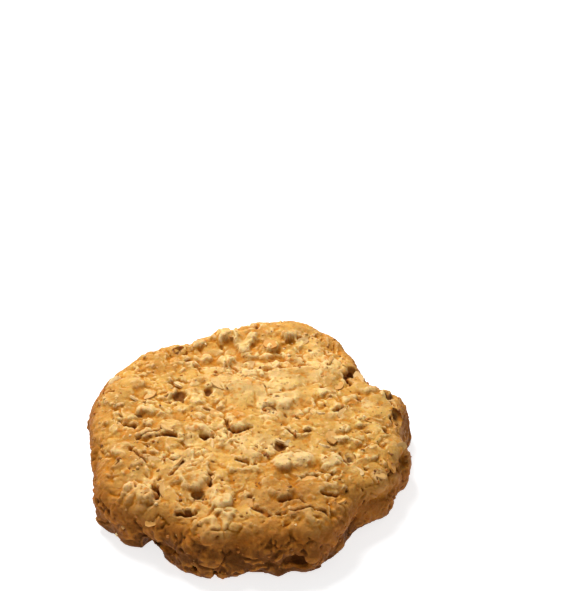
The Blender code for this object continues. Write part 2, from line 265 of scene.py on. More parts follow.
# %% Holes in the dough
# Where each egg lies: x, y, z, half length, half width, half height, turn
HOLLOWS = (
    (-21.4, -29.6, 0.2, 5.4, 2.7, 4.2, 234), (-7.4, -38.2, 1.4, 3.2, 1.6, 2.8, 259),
    (-18.4, -34.6, 4.9, 3.2, 4.6, 2.2, 243), (-11.4, -36.6, 3.4, 1.4, 1.2, 1.3, 253),
    (10.2, -37.6, 4.8, 3.4, 3, 2.5, 286), (18, -34.8, 1.6, 3, 2.4, 2, 298),
    (23.4, 17.4, 13.6, 3, 2, 3.4, 60), (-18.4, 25.6, 13.6, 2.4, 1.8, 2.2, 100),
    (-11, -25, 13.8, 1.2, 1, 1.9, 20), (4, 3.2, 13.8, 1.4, 0.7, 1.5, 160),
    (22, -12.8, 13.6, 0.8, 2.2, 1.7, 15), (34.6, -9.6, 9.2, 1.8, 2.4, 2.6, 0),
    (33.8, 2.6, 12, 1.5, 2, 1.8, 30),
)
EGG_UNEVENNESS = 0.28
SKIN_STEP = 0.31

cutters = bpy.data.collections.new("hollows")
scene.collection.children.link(cutters)
for number, (x, y, z, long, wide, high, turn) in enumerate(HOLLOWS):
    deselect_all()
    bpy.ops.mesh.primitive_ico_sphere_add(subdivisions=4, radius=MM)
    egg = bpy.context.object
    ball = read_places(egg)
    shift = Vector((number * 3.1, 0.0, 0.0))
    bumps = np.array([noise.noise(Vector(place) * 1.6 + shift) for place in ball])
    write_places(egg, ball * (1.0 + EGG_UNEVENNESS * bumps)[:, None])
    place = Matrix.Translation(Vector((x, y, z)) * MM) @ Matrix.Rotation(math.radians(turn), 4, "Z")
    egg.data.transform(place @ Matrix.Diagonal((long, wide, high, 1.0)))
    for holder in list(egg.users_collection):
        holder.objects.unlink(egg)
    cutters.objects.link(egg)

cut = dough.modifiers.new("hollows", "BOOLEAN")
cut.operation = "DIFFERENCE"
cut.operand_type = "COLLECTION"
cut.collection = cutters
cut.solver = "MANIFOLD"
even = dough.modifiers.new("even skin", "REMESH")
even.mode = "VOXEL"
even.voxel_size = SKIN_STEP * MM
apply_modifiers(dough)
for egg in list(cutters.objects):
    bpy.data.objects.remove(egg)
bpy.data.collections.remove(cutters)
print("skin of", len(dough.data.vertices), "vertices")

# %% [markdown]
# The flat foot takes no relief, so its inner part is thinned to larger faces. That saves a quarter
# of all faces, and they can go where they show.

# %% Thin the foot
FOOT_SHARE = 0.06
FOOT_BELOW = 0.02

select_faces(dough, lambda centre, normal: centre.z < FOOT_BELOW)
bpy.ops.mesh.decimate(ratio=FOOT_SHARE)
bpy.ops.object.mode_set(mode="OBJECT")
print("thinned to", len(dough.data.vertices), "vertices")

# %% [markdown]
# Rolled oats are flat flakes of 5 to 8 mm. Most lie under a thin skin of dough and lift it, with
# a crisp edge where they stand proud and none where they dive under. Each is set down as an oval
# at a place, with a tilt, and the ones that the eye picks out are listed. Many more are
# strewn by chance between them, and broken shards stand askew. A tone below 0 is toasted orange,
# above 0 pale.

# %% Flakes under the skin
# On the top: x, y, half length, half width, turn, lift, rise to the front, tone
TOP_PLATES = (
    (-3.2, 0.2, 4.4, 4.2, 20, 0.8, 0.1, -0.9), (1, -9, 6.4, 5.4, -15, 0.6, 0.05, 0.6),
    (9.6, -3.8, 4.6, 2.8, 15, 0.8, 0.14, -0.4), (7.4, 6.6, 4.2, 3.2, 25, 1.1, 0.1, 0.3),
    (9.2, -14.4, 6, 3.2, 22, 1.5, 0.1, 1), (17.8, -14.4, 3, 3, 20, 1.2, 0.05, 0.5),
    (-28, -11, 6.2, 2.8, -42, 1.4, 0.14, 0.3), (-12.8, -19.4, 4.8, 4.6, 10, 1.3, 0.12, 0.3),
    (-26, -23.4, 1.7, 2.9, -20, 1.8, 0.1, 0.8), (-23.4, -24.6, 2, 2.2, 15, 1.9, 0.16, 0.4),
    (-21.8, -25.4, 1.3, 2, 10, 1.4, 0.1, 0.7), (-6, -26, 2.8, 6.4, 10, 1.5, 0.08, 0.3),
    (-8, -34.4, 4.6, 3.4, -5, 1.8, 0.16, 0.3), (-24.2, 3, 3.8, 3.2, 30, 1.2, 0.12, 0.5),
    (-18.4, -3.4, 3.6, 3.2, -20, 1.1, 0.12, 0.4), (-9.4, 13.6, 4.6, 3, -10, 0.5, 0.08, 0.4),
    (7.6, 13, 5.2, 2.6, 5, 0.5, 0.06, 0.2), (19.4, 5.8, 4.8, 3, -15, 0.5, 0.08, 0),
    (26.6, 11.4, 3.8, 2.6, 0, 0.8, 0.12, 0.3), (14.4, -22.8, 4, 2.4, 25, 0.5, 0.12, 0),
    (13.4, -30, 4.8, 3.6, -20, 0.9, 0.14, -0.2), (24, -6.4, 4.2, 3, 35, 0.4, 0.06, 0),
    (-28.6, 13.4, 3, 2.6, 40, 0.6, 0.08, 0.1), (2.2, 32.8, 6.4, 2.6, 0, 0.8, -0.06, -0.9),
    (-24.6, 20.8, 3, 2.4, 30, 0.6, 0, -0.6), (15.6, 23.4, 4, 2.2, -25, 0.6, 0, 0.1),
    (-0.6, -16.6, 3.8, 1.8, 0, 0.5, 0.16, 0.1), (-17.4, -12.6, 3.8, 2, 25, 0.5, 0.1, 0.2),
    (24, -20, 5.2, 3.8, -40, 0.3, 0.04, -0.1), (-12.2, 23.2, 2.6, 2.1, 0, 1.5, 0.1, 0.5),
    (-6.2, 22.6, 2.8, 2.1, 15, 1.5, 0.1, 0.3), (5.4, 20.4, 4, 1.7, 6, 1.6, 0.1, 0.5),
    (3, 23.6, 2.1, 1.1, 4, 1.2, 0.1, 0.4), (-7, 30.8, 3.8, 2.6, -20, 1.7, 0.06, 0.3),
    (4.2, 26.8, 2.3, 1.7, 35, 1.3, 0.06, 0.5), (-13.6, 8.6, 2.5, 2.1, 0, 0.9, 0.1, 0.4),
    (-19.8, 15.2, 3, 2.2, 0, 0.6, 0.1, 0.2), (-17, 22.4, 2.6, 1.5, 20, 1.1, 0.1, 0.2),
    (-14.2, 19.4, 2, 1.1, -10, 0.9, 0.12, 0.4), (-2, 26.4, 1.9, 1.3, 40, 0.8, 0.06, 0),
    (-1.6, 21.4, 1.6, 1, 10, 0.7, 0.1, -0.4), (9.4, 23.6, 2.4, 1.5, 10, 0.9, 0.06, 0.1),
    (8, 30.2, 1.5, 1.2, 0, 1.2, 0, 0.3), (11.2, 28.2, 1, 1.7, 0, 1, 0, 0.6),
    (-13.6, 28.6, 2.8, 1.7, 25, 1.1, 0.06, 0), (-22.6, 24, 2.4, 1.8, -30, 0.9, 0, -0.8),
    (14.6, 20.6, 3.2, 1.3, -20, 0.9, 0.1, 0.1), (-0.6, 30, 1.8, 1.4, 0, 0.8, 0, 0.2),
    (-29.8, 17.2, 1.8, 1.5, 60, 0.8, 0, -0.5), (19.8, 24.6, 2, 1.5, -40, 0.8, 0, -0.3),
    (-27, 11.8, 2.4, 2, 0, 1, 0.1, 0.4), (-20.4, 1.8, 2.2, 1.7, 30, 1, 0.1, 0.4),
    (-28.2, 0, 2.4, 1.6, 0, 0.9, 0.12, 0.3), (-24, -2.2, 1.3, 1.7, 10, 1.2, 0.1, 1.2),
    (-23, -5.6, 3, 1.6, 10, 1.1, 0.12, 0.6), (-12.2, -4.4, 3.2, 1.6, 8, 0.9, 0.12, 1.4),
    (-26.4, -15, 4.4, 2.8, 0, 0.9, 0.08, -0.1), (-11.9, -11.4, 3.6, 1.6, 15, 0.7, 0.12, 0.4),
    (-12.9, 6.2, 2, 1.8, 0, 0.8, 0.1, 0.5), (-16.2, 3.4, 2.6, 1.5, 30, 0.7, 0.12, 0.4),
    (-32.4, 6.8, 2.6, 2.6, 0, 0.8, 0.06, 0.2), (-30.4, 3.4, 1, 0.9, 0, 0.5, 0, -1),
    (19.5, -7.1, 3.2, 1.5, -10, 0.9, 0.1, 0.6), (25.2, -0.6, 3.6, 2.6, -20, 0.8, 0.06, 0.3),
    (20.7, -4, 2.4, 1.3, 0, 0.6, 0.1, 0.4), (22.5, 6.4, 3, 1.8, 10, 0.7, 0.08, 0.2),
    (31, 9.3, 1.8, 1.3, 40, 1, 0, -0.9), (32.4, -14, 3.4, 2, 60, 0.8, 0, 0.3),
    (17.6, 9.4, 3.2, 1.8, 0, 0.7, 0.1, 0.5), (6.5, -24.6, 3.4, 2, 10, 0.8, 0.1, 0.2),
    (17.6, -22.4, 3, 1.8, -15, 0.8, 0.1, 0.1), (26.6, -11.4, 3.6, 2.4, 30, 0.6, 0.04, 0.1),
)
# On the wall: angle, height, half length, half width, turn, lift, tone
WALL_PLATES = (
    (248, 1.6, 3.6, 1.8, 0, 0.9, -0.5), (265, 2.2, 4.2, 2.4, 0, 0.9, 0),
    (277, 1.8, 2.6, 1.8, 0, 0.8, -0.3), (214, 2.2, 4.4, 2.6, 0, 0.9, 0.2),
    (199, 3, 3.6, 2.8, 0, 0.7, -0.4), (226, 5.4, 2.6, 2, 20, 0.7, 0),
    (303, 2.6, 3.8, 2.4, 0, 0.8, -0.3), (318, 4.4, 4, 2.6, 15, 0.7, 0.3),
    (334, 3.2, 3.2, 2.6, 0, 0.7, 0), (258, 7.4, 3.4, 2.2, -20, 0.8, 0.4),
    (271, 6.6, 2.6, 2, 30, 0.7, -0.4), (298, 8.2, 2.6, 1.8, 10, 0.6, 0.3),
    (183, 3, 3.4, 2.4, 0, 0.6, 0), (168, 6, 3.8, 2.6, 10, 0.6, 0), (238, 9, 2.8, 1.8, 10, 0.8, 0.4),
    (250, 8.6, 2.2, 1.6, -15, 0.7, -0.2), (283, 9, 3, 1.8, 0, 0.6, 0), (348, 6.6, 3, 2.6, 0, 0.7, 0.2),
)
TOP_STREW_COUNT = 170
TOP_STREW_RADIUS = 34.5
WALL_STREW_COUNT = 130
WALL_STREW_HEIGHTS = (1.5, 12.0)
STREWN_HALF_LENGTHS = (3.6, 1.4)
STREWN_SLIMNESS = (0.5, 0.9)
STREWN_LIFTS = (0.15, 0.65)
TOP_STREW_LEANS = ((-0.16, 0.16), (-0.26, 0.10), (0.0, 0.0))
WALL_STREW_LEANS = ((-0.1, 0.1), (-0.1, 0.1), (-0.1, 0.1))
TOP_SHARD_COUNT = 110
WALL_SHARD_COUNT = 70
SHARD_RADIUS = 35.5
SHARD_HEIGHTS = (0.8, 12.5)
SHARD_HALF_LENGTHS = (1.4, 3.4)
SHARD_SLIMNESS = (0.45, 0.85)
SHARD_LIFTS = (-0.05, 0.3)
SHARD_LEAN = 0.32
LISTED_TOP_CRISP, LISTED_WALL_CRISP = 0.55, 0.45
print(len(TOP_PLATES), "flakes listed on the top,", len(WALL_PLATES), "on the wall")

# %% [markdown]
# A flake is set down on the plain disc. The disc is a formula, so the formula gives the point
# above a place or on the wall at an angle, and its slopes give the outward direction there. That
# is quicker than a ray, and the flake doesn't depend on what is pressed before it.

# %% Points and directions of the plain disc
def top_point(x, y):
    """The point of the plain disc's top above a place."""
    across, along = SHOULDER_POWERS
    share = min(math.hypot(x, y) / float(outline_radius(np.array([math.atan2(y, x)]))[0]), 0.995)
    rise = (1.0 - share**across) ** (1.0 / along)
    return np.array((x, y, WAIST_HEIGHT + (THICKNESS - WAIST_HEIGHT) * rise))


def wall_point(angle, height):
    """The point of the plain disc's wall at an angle in radians."""
    across, along = SHOULDER_POWERS
    rise = max((height - WAIST_HEIGHT) / (THICKNESS - WAIST_HEIGHT), 0.0)
    radius = float(outline_radius(np.array([angle]))[0]) * (1.0 - rise**along) ** (1.0 / across)
    return np.array((radius * math.cos(angle), radius * math.sin(angle), height))


def random_place(draw, reach):
    """A place within a circle: first its distance from the middle, then its direction."""
    radius = reach * math.sqrt(draw.random())
    angle = draw.uniform(0.0, FULL_TURN)
    return radius * math.cos(angle), radius * math.sin(angle)


def random_point(draw, on_top, reach, heights):
    """A point of the skin: first its direction, then how far out on the top or how high on the wall."""
    angle = draw.uniform(0.0, FULL_TURN)
    if not on_top:
        return wall_point(angle, draw.uniform(*heights))
    radius = reach * math.sqrt(draw.random())
    return top_point(radius * math.cos(angle), radius * math.sin(angle))


def skin_normal(point):
    """The outward direction of the plain disc at a point on its upper part."""
    across, along = SHOULDER_POWERS
    angle = math.atan2(point[1], point[0])
    radius = float(outline_radius(np.array([angle]))[0])
    share = min(math.hypot(point[0], point[1]) / radius, 1.0)
    rise = max((point[2] - WAIST_HEIGHT) / (THICKNESS - WAIST_HEIGHT), 0.0)
    out = across * share ** (across - 1.0) / radius
    up = along * rise ** (along - 1.0) / (THICKNESS - WAIST_HEIGHT)
    normal = np.array((out * math.cos(angle), out * math.sin(angle), up))
    return normal / np.linalg.norm(normal)


print("the wall in front is at", wall_point(-math.pi / 2.0, WAIST_HEIGHT).round(2), "mm")

# %% [markdown]
# Each flake keeps its own axes, already divided by its half length and half width. So one product
# of a distance with each axis tells how far out on the flake a vertex lies.

# %% One flake under the skin
class Plate:
    """An oat flake under the skin: where it lies, how it is turned, and how it lifts the dough."""

    def __init__(self, point, half_length, half_width, turn, lift, lean, tone, crisp=0.8):
        self.point = point
        self.normal = skin_normal(point)
        guide = np.array((1.0, 0.0, 0.0)) if self.normal[2] > 0.7 else np.array((0.0, 0.0, 1.0))
        flat = guide - self.normal * guide.dot(self.normal)
        flat /= np.linalg.norm(flat)
        side = np.cross(self.normal, flat)
        turn = math.radians(turn)
        self.along = (math.cos(turn) * flat + math.sin(turn) * side) / half_length
        self.across = (math.cos(turn) * side - math.sin(turn) * flat) / half_width
        self.lift = lift
        self.lean = np.array(lean)
        self.tone = tone
        self.crisp = crisp

    def reach(self, offset):
        """0 at the middle and 1 at the rim, which has six blunt corners, as a broken flake has."""
        along, across = offset @ self.along, offset @ self.across
        sides = [along, 0.5 * along + 0.87 * across, 0.5 * along - 0.87 * across]
        return 0.7 * np.abs(sides).max(axis=0) + 0.3 * np.hypot(along, across)

# %% [markdown]
# The strewn flakes start with the largest, so that smaller ones lie on them. Each list draws from
# seeds of its own, because then a change to one list leaves the others as they were.

# %% All flakes under the skin
def strewn_plate(draw, tones, point, share, leans):
    """A flake of random shape. share runs from 0 for the first and largest to 1 for the last."""
    first, last = STREWN_HALF_LENGTHS
    half_length = first + (last - first) * share
    half_width = half_length * draw.uniform(*STREWN_SLIMNESS)
    turn = draw.uniform(0.0, 180.0)
    lift = draw.uniform(*STREWN_LIFTS)
    lean = [draw.uniform(low, high) for low, high in leans]
    crisp = tones.choice((0.3, 0.5, 0.7, 0.9))
    return Plate(point, half_length, half_width, turn, lift, lean, tones.uniform(-0.8, 0.8), crisp)


def strewn_plates():
    draw = random.Random(SEED)
    tones = random.Random(SEED + 1)
    plates = []
    for number in range(TOP_STREW_COUNT):
        point = top_point(*random_place(draw, TOP_STREW_RADIUS))
        plates.append(strewn_plate(draw, tones, point, number / TOP_STREW_COUNT, TOP_STREW_LEANS))
    for number in range(WALL_STREW_COUNT):
        point = wall_point(draw.uniform(0.0, FULL_TURN), draw.uniform(*WALL_STREW_HEIGHTS))
        plates.append(strewn_plate(draw, tones, point, number / WALL_STREW_COUNT, WALL_STREW_LEANS))
    return plates


def shards():
    """Broken flakes that stand askew in the dough, one edge raised and the other buried."""
    draw = random.Random(SEED + 4)
    plates = []
    for number in range(TOP_SHARD_COUNT + WALL_SHARD_COUNT):
        point = random_point(draw, number < TOP_SHARD_COUNT, SHARD_RADIUS, SHARD_HEIGHTS)
        half_length = draw.uniform(*SHARD_HALF_LENGTHS)
        half_width = half_length * draw.uniform(*SHARD_SLIMNESS)
        lift = draw.uniform(*SHARD_LIFTS)
        lean = [draw.uniform(-SHARD_LEAN, SHARD_LEAN) for _ in range(3)]
        turn = draw.uniform(0.0, 180.0)
        tone = draw.uniform(-0.8, 0.8)
        crisp = draw.choice((0.5, 0.7, 0.9))
        plates.append(Plate(point, half_length, half_width, turn, lift, lean, tone, crisp))
    return plates


def listed_plates():
    plates = []
    for x, y, half_length, half_width, turn, lift, rise, tone in TOP_PLATES:
        point = top_point(x, y)
        lean = (0.0, -rise - 0.06, 0.0)
        plates.append(Plate(point, half_length, half_width, turn, lift, lean, tone, LISTED_TOP_CRISP))
    for angle, height, half_length, half_width, turn, lift, tone in WALL_PLATES:
        point = wall_point(math.radians(angle), height)
        lean = (0.0, 0.0, -0.08)
        plates.append(Plate(point, half_length, half_width, turn, lift, lean, tone, LISTED_WALL_CRISP))
    return plates


strewn_flakes = strewn_plates() + shards()
listed_flakes = listed_plates()
print(len(strewn_flakes), "flakes and shards strewn,", len(listed_flakes), "flakes listed")

# %% [markdown]
# Between the flakes the dough has lumps, cobbles and the creases where they meet, and a dip behind
# the ridge that crosses the far third of the top. All of the finer shape is one height over the
# skin, built up from large to small, because then every layer sits on the one below it, as in
# real dough. Places are bent by noise before a pattern reads them, so that no edge runs straight.

# %% Lumps, cobbles and the dip
DIP_LINE_Y = 17.6
DIP_LINE_BEND = 0.009
DIP_DEPTH = 2.0
DIP_LENGTH = 15.0
DIP_HALF_WIDTH = 25.0
LUMP_SIZE, LUMP_HEIGHT = 15.0, 0.75
SMALL_LUMP_SIZE, SMALL_LUMP_HEIGHT = 6.8, 1.05
COBBLE_SIZE, COBBLE_HEIGHT = 5.4, 0.75
CREASE_WIDTH, CREASE_DEPTH = 0.22, 0.35
EDGE_WANDER_SIZE, EDGE_WANDER = 2.6, 0.8
FINE_WANDER_SIZE, FINE_WANDER = 1.0, 0.45


def dough_relief(points, normals, bent):
    """The lumps, cobbles and creases of the dough, and the dip behind the ridge."""
    height = LUMP_HEIGHT * noise_at(points, LUMP_SIZE, 0.0)
    height += SMALL_LUMP_HEIGHT * noise_at(points, SMALL_LUMP_SIZE, 9.0)
    height *= 1.0 + 0.6 * smooth_step(0.3, 0.9, 1.0 - normals[:, 2])
    behind = 0.5 * (points[:, 1] + bent[:, 1]) - (DIP_LINE_Y + DIP_LINE_BEND * points[:, 0] ** 2)
    fall = smooth_step(-0.6, 1.2, behind) * (1.0 - smooth_step(3.0, DIP_LENGTH, behind))
    inside = 1.0 - smooth_step(DIP_HALF_WIDTH - 6.0, DIP_HALF_WIDTH, np.abs(points[:, 0]))
    height -= DIP_DEPTH * fall * inside * smooth_step(0.55, 0.9, normals[:, 2])
    first, second = cells_at(bent, COBBLE_SIZE, 2.0)
    height += COBBLE_HEIGHT * (0.5 - np.minimum(first, 1.0))
    crease = 1.0 - smooth_step(0.0, CREASE_WIDTH, second - first)
    height -= CREASE_DEPTH * crease * smooth_step(-0.1, 0.3, noise_at(points, COBBLE_SIZE, 50.0))
    return height


points = read_places(dough)
normals = read_normals(dough)
wander = np.column_stack([noise_at(points, EDGE_WANDER_SIZE, shift) for shift in (3.1, 17.7, 31.9)])
fine = np.column_stack([noise_at(points, FINE_WANDER_SIZE, shift) for shift in (5.3, 11.1, 23.9)])
bent = points + EDGE_WANDER * wander + FINE_WANDER * fine
lumps = dough_relief(points, normals, bent)
print("lumps from", round(lumps.min(), 2), "to", round(lumps.max(), 2), "mm")

# %% [markdown]
# The flakes are pressed into that height one after another. In calm zones the skin closed over
# them, so the strewn ones are lower there, and more so on the right. The listed ones come
# after, so the calm doesn't lower them.

# %% Press the flakes
CALM_SIZE, CALM_SHARE = 9.0, 0.42


def press_plate(height, tone, plate, bent, normals, strength):
    """Lifts the skin to one flake's level where the flake reaches, and hardly lowers it anywhere."""
    offset = bent - plate.point
    reach = plate.reach(offset)
    near = (reach < 1.26) & (np.abs(offset @ plate.normal) < 3.0) & (normals @ plate.normal > 0.45)
    if not near.any():
        return
    reach = reach[near]
    under = height[near]
    level = np.median(under) + plate.lift * (1.0 - 0.25 * reach**2) + offset[near] @ plate.lean
    rise = level - under
    edge = 1.0 - smooth_step(plate.crisp, 1.12, reach)
    height[near] = under + np.maximum(rise, 0.12 * rise) * edge * strength[near]
    tone[near] += (plate.tone - tone[near]) * edge * np.clip(rise / 0.3 + 0.4, 0.0, 1.0)


relief = lumps.copy()
tone = np.zeros(len(points))
strengths = 0.25 + 0.75 * smooth_step(-0.32, 0.18, wander)
for number, plate in enumerate(strewn_flakes):
    press_plate(relief, tone, plate, bent, normals, strengths[:, number % 3])
calm = 0.88 - CALM_SHARE * smooth_step(-0.05, 0.25, noise_at(points, CALM_SIZE, 80.0) + 0.01 * points[:, 0])
relief = lumps + (relief - lumps) * calm
for number, plate in enumerate(listed_flakes):
    press_plate(relief, tone, plate, bent, normals, 0.4 + 0.6 * strengths[:, number % 3])
print("flakes lift the skin by up to", round((relief - lumps).max(), 2), "mm")

# %% [markdown]
# Small lumps of dough and broken oat sit on all this, but none where the skin is smooth. Each is
# a rounded cap that dives under the skin at its rim and meets it steeply, and that shows as a
# crease all round.

# %% Small lumps
NUGGET_TOP_COUNT = 190
NUGGET_WALL_COUNT = 90
NUGGET_RADIUS, NUGGET_HEIGHTS = 36.0, (0.4, 13.0)
NUGGET_HALF_LENGTHS = (0.5, 1.5)


def all_nuggets():
    """Small lumps of dough and broken oat, most of them small, over the top and the wall."""
    draw = random.Random(SEED + 3)
    low, high = NUGGET_HALF_LENGTHS
    nuggets = []
    for number in range(NUGGET_TOP_COUNT + NUGGET_WALL_COUNT):
        point = random_point(draw, number < NUGGET_TOP_COUNT, NUGGET_RADIUS, NUGGET_HEIGHTS)
        half_length = low + (high - low) * draw.random() ** 2.0
        half_width = half_length * draw.uniform(0.5, 0.95)
        lift = min(half_width, 1.2) * draw.uniform(0.2, 0.5)
        lean = [draw.uniform(-0.15, 0.15), draw.uniform(-0.3, 0.05), 0.0]
        tone = draw.uniform(-0.9, 0.9)
        turn = draw.uniform(0.0, 180.0)
        nuggets.append(Plate(point, half_length, half_width, turn, lift, lean, tone))
    nuggets.sort(key=lambda nugget: nugget.lift, reverse=True)
    return nuggets


def press_nugget(height, tone, nugget, bent, normals):
    """Sets one rounded lump on the skin, with a crease all round where it meets what is there."""
    close = np.flatnonzero(np.abs(bent - nugget.point).max(axis=1) < 3.2)
    close = close[normals[close] @ nugget.normal > 0.5]
    offset = bent[close] - nugget.point
    reach = nugget.reach(offset)
    near = close[reach < 1.0]
    if len(near) < 4 or noise.noise(Vector(nugget.point / 9.0 + 40.0)) < -0.12:
        return
    reach, offset = reach[reach < 1.0], offset[reach < 1.0]
    under = height[near]
    cap = nugget.lift * (1.3 * (1.0 - reach**2) ** 0.7 - 0.3)
    rise = np.median(under) + cap + offset @ nugget.lean - under
    height[near] = under + np.maximum(rise, 0.0)
    tone[near] += 0.6 * (nugget.tone - tone[near]) * smooth_step(0.0, 0.25, rise)


small_lumps = all_nuggets()
for nugget in small_lumps:
    press_nugget(relief, tone, nugget, bent, normals)
print(len(small_lumps), "small lumps drawn")

# %% [markdown]
# Crumbs and grains are two nets of cells, and slits open along the edges of a third. They too are
# weaker in the calm zones.

# %% Crumbs, grains and slits of the skin
CRUMB_SIZE, GRAIN_SIZE = 1.9, 0.95
SLIT_SIZE, SLIT_WIDTH, SLIT_DEPTH = 4.4, 0.16, 0.75


def crumb_relief(points, wander, fine):
    """Crumbs, grains and slits, strong where the dough is open and weak where its skin is smooth."""
    crumbly = smooth_step(-0.25, 0.3, noise_at(points, 9.0, 40.0))
    crumb, _ = cells_at(points + 0.6 * wander, CRUMB_SIZE, 7.0)
    grain, _ = cells_at(points + 0.2 * fine, GRAIN_SIZE, 13.0)
    height = (0.28 * crumbly + 0.05) * (0.5 - crumb**2 * 1.6)
    height += (0.15 * crumbly + 0.05) * (0.5 - grain)
    first, second = cells_at(points + 1.2 * wander + 0.3 * fine, SLIT_SIZE, 31.0)
    slit = 1.0 - smooth_step(0.0, SLIT_WIDTH, second - first)
    height -= SLIT_DEPTH * slit * smooth_step(0.0, 0.25, noise_at(points, 3.6, 71.0))
    open_dough = 0.5 + 0.5 * crumbly
    return height + open_dough * (0.30 * noise_at(points, 1.4, 21.0) + 0.18 * noise_at(points, 0.7, 27.0))


relief += crumb_relief(points, wander, fine) * calm
print("with crumbs from", round(relief.min(), 2), "to", round(relief.max(), 2), "mm")

# %% [markdown]
# Steam left pits and pores. Each lowers the height within an uneven circle, and the same circle is
# kept as a mask, because the finish paints shade into it.

# %% Pits and pores
PORE_COUNT = 280
PORE_RADIUS, PORE_HEIGHTS = 35.0, (0.5, 12.5)
# Pits that the eye picks out on the top: x, y, radius, depth
TOP_PITS = (
    (-17, 8, 1.8, 1), (-10, 9.5, 1.2, 1.2), (4, 3.2, 1.5, 1.3), (-10.2, -7, 1.1, 1),
    (-30.4, -1.6, 0.7, 0.9), (-4, -4.4, 0.6, 0.8), (6.4, -9.6, 1.6, 0.9), (12.6, -19.2, 1.2, 1),
    (-20, -23, 1, 1.6), (-13, -29.8, 0.9, 0.9), (21.6, -13.4, 1, 1.4), (20.4, 3, 0.8, 0.8),
    (16.6, 10.8, 0.6, 0.8), (25.4, -17, 0.7, 0.7), (32.4, 8.6, 1.5, 0.8), (-24.4, 25.2, 1, 0.7),
    (11, 30.4, 0.8, 0.8), (30.4, -4, 1.2, 1), (0.4, 18.6, 0.9, 1), (-23.6, -13, 0.8, 0.8),
    (-8.6, -19.4, 0.7, 0.9),
)


def all_pits():
    draw = random.Random(SEED + 2)
    pits = [(top_point(x, y), radius, depth) for x, y, radius, depth in TOP_PITS]
    for _ in range(PORE_COUNT):
        if draw.random() < 0.5:
            place = top_point(*random_place(draw, PORE_RADIUS))
        else:
            place = wall_point(draw.uniform(0.0, FULL_TURN), draw.uniform(*PORE_HEIGHTS))
        size = 0.30 + 0.42 * draw.random() ** 2
        pits.append((place, size, size * draw.uniform(0.6, 1.1)))
    return pits


painted_pit_shade = np.zeros(len(points))
found_pits = all_pits()
for place, size, depth in found_pits:
    reach = np.linalg.norm(points + 0.8 * wander + 0.5 * fine - place, axis=1) / size
    near = reach < 1.3
    mask = 1.0 - smooth_step(0.45, 1.25, reach[near])
    relief[near] -= depth * mask
    painted_pit_shade[near] = np.maximum(painted_pit_shade[near], mask)
print(len(found_pits), "pits and pores")

# %% [markdown]
# Cracks opened as the dough spread, and beside large flakes an edge stands open. Each is a groove
# along a few straight pieces, and the bent places make its sides uneven.

# %% Cracks
# Cracks and open edges on the top: half width, depth, and the places they pass through
CRACKS = (
    (0.7, 1.6, ((2.8, 3.6), (3.6, 2.9), (4.6, 2.2))),
    (0.55, 1.3, ((-11.4, -6.7), (-10, -6.9), (-8.5, -7.1))),
    (0.5, 0.9, ((-5.9, -1.5), (-5.1, -3.4), (-3.8, -4.8), (-2, -4.2), (-0.1, -3.5))),
    (0.45, 0.7, ((-9.7, 2.5), (-10.6, 3.6))), (0.6, 0.9, ((-0.2, 18.7), (0.1, 19.4))),
    (0.6, 1.3, ((21.4, 15.2), (22.8, 13))), (0.45, 0.8, ((20.3, 2), (21.8, 3.5))),
    (0.5, 0.9, ((8, -4.5), (9.2, -5.6), (11.8, -4.8), (13.2, -4.2))),
    (0.5, 0.9, ((-3.3, -14.3), (-0.8, -15.2))),
    (0.6, 1.4, ((20.3, -11.6), (20.8, -13.6), (21.6, -15.3))),
    (0.6, 1.2, ((11.6, -19.6), (14.2, -19.1))), (0.5, 0.9, ((15.4, -17.4), (18, -19.1))),
    (0.5, 0.9, ((-27, -10.2), (-25, -13.6), (-23.4, -15.4))),
    (0.45, 0.8, ((-19.4, -13.3), (-15.6, -14.6))),
    (0.45, 0.9, ((-17.4, -19), (-15.3, -16.6), (-15.1, -14.6))),
    (0.8, 2, ((-12, -25.3), (-10.4, -25.8))), (0.5, 1, ((-8.9, -22.4), (-8.1, -19.6))),
    (0.45, 1.8, ((-19.8, -22.8), (-19.8, -26.2))),
    (0.5, 1.5, ((-15.6, -30), (-13.4, -30.6), (-11.6, -30.2))),
    (0.5, 1, ((-4.3, -36.4), (-5.4, -38.2))), (0.5, 0.8, ((-0.2, -25.6), (0.4, -28.8), (4.8, -31))),
    (0.45, 0.8, ((10.2, -26), (11.8, -27.6))), (0.5, 0.8, ((10, -30.2), (13, -29.4), (16.4, -29.9))),
    (0.45, 0.8, ((-25.6, -7.2), (-22.6, -5.6), (-20, -3.9))), (0.6, 1, ((30.8, 8.8), (33, 5.8))),
    (0.5, 1, ((19.2, 2.6), (21.1, 3.8))), (0.5, 1, ((6.6, -27), (9.4, -26.4))),
    (0.5, 0.9, ((15.8, -24.8), (19, -25))), (0.6, 1.2, ((-29, -2.4), (-26.6, -3.2))),
    (0.6, 1, ((-21, -6.4), (-17, -6.8))), (0.5, 0.9, ((32, 1.4), (32.3, -0.6))),
    (0.45, 0.6, ((23.4, -28.6), (23.5, -31))),
)


def open_cracks(height, painted_pit_shade, points, wander, fine):
    """Opens each crack as a narrow groove with uneven sides."""
    flat = (points + 0.5 * wander + 0.3 * fine)[:, :2]
    for half_width, depth, places in CRACKS:
        away = np.full(len(points), 9.0)
        for start, end in zip(places[:-1], places[1:]):
            start, along = np.array(start), np.array(end) - np.array(start)
            share = np.clip((flat - start) @ along / along.dot(along), 0.0, 1.0)
            away = np.minimum(away, np.linalg.norm(flat - start - share[:, None] * along, axis=1))
        groove = (1.0 - smooth_step(0.25 * half_width, 1.2 * half_width, away)) * (points[:, 2] > 10.5)
        height -= depth * groove
        # The groove also gets painted shade in the finish
        np.maximum(painted_pit_shade, groove, out=painted_pit_shade)


open_cracks(relief, painted_pit_shade, points, wander, fine)
print("relief from", round(relief.min(), 2), "to", round(relief.max(), 2), "mm")

# %% [markdown]
# The skin is moved along its normals by that height. The height fades towards the foot, which the
# tray pressed flat, and inside the holes, whose walls are smooth.

# %% Raise the relief
FLAT_BELOW = 0.3


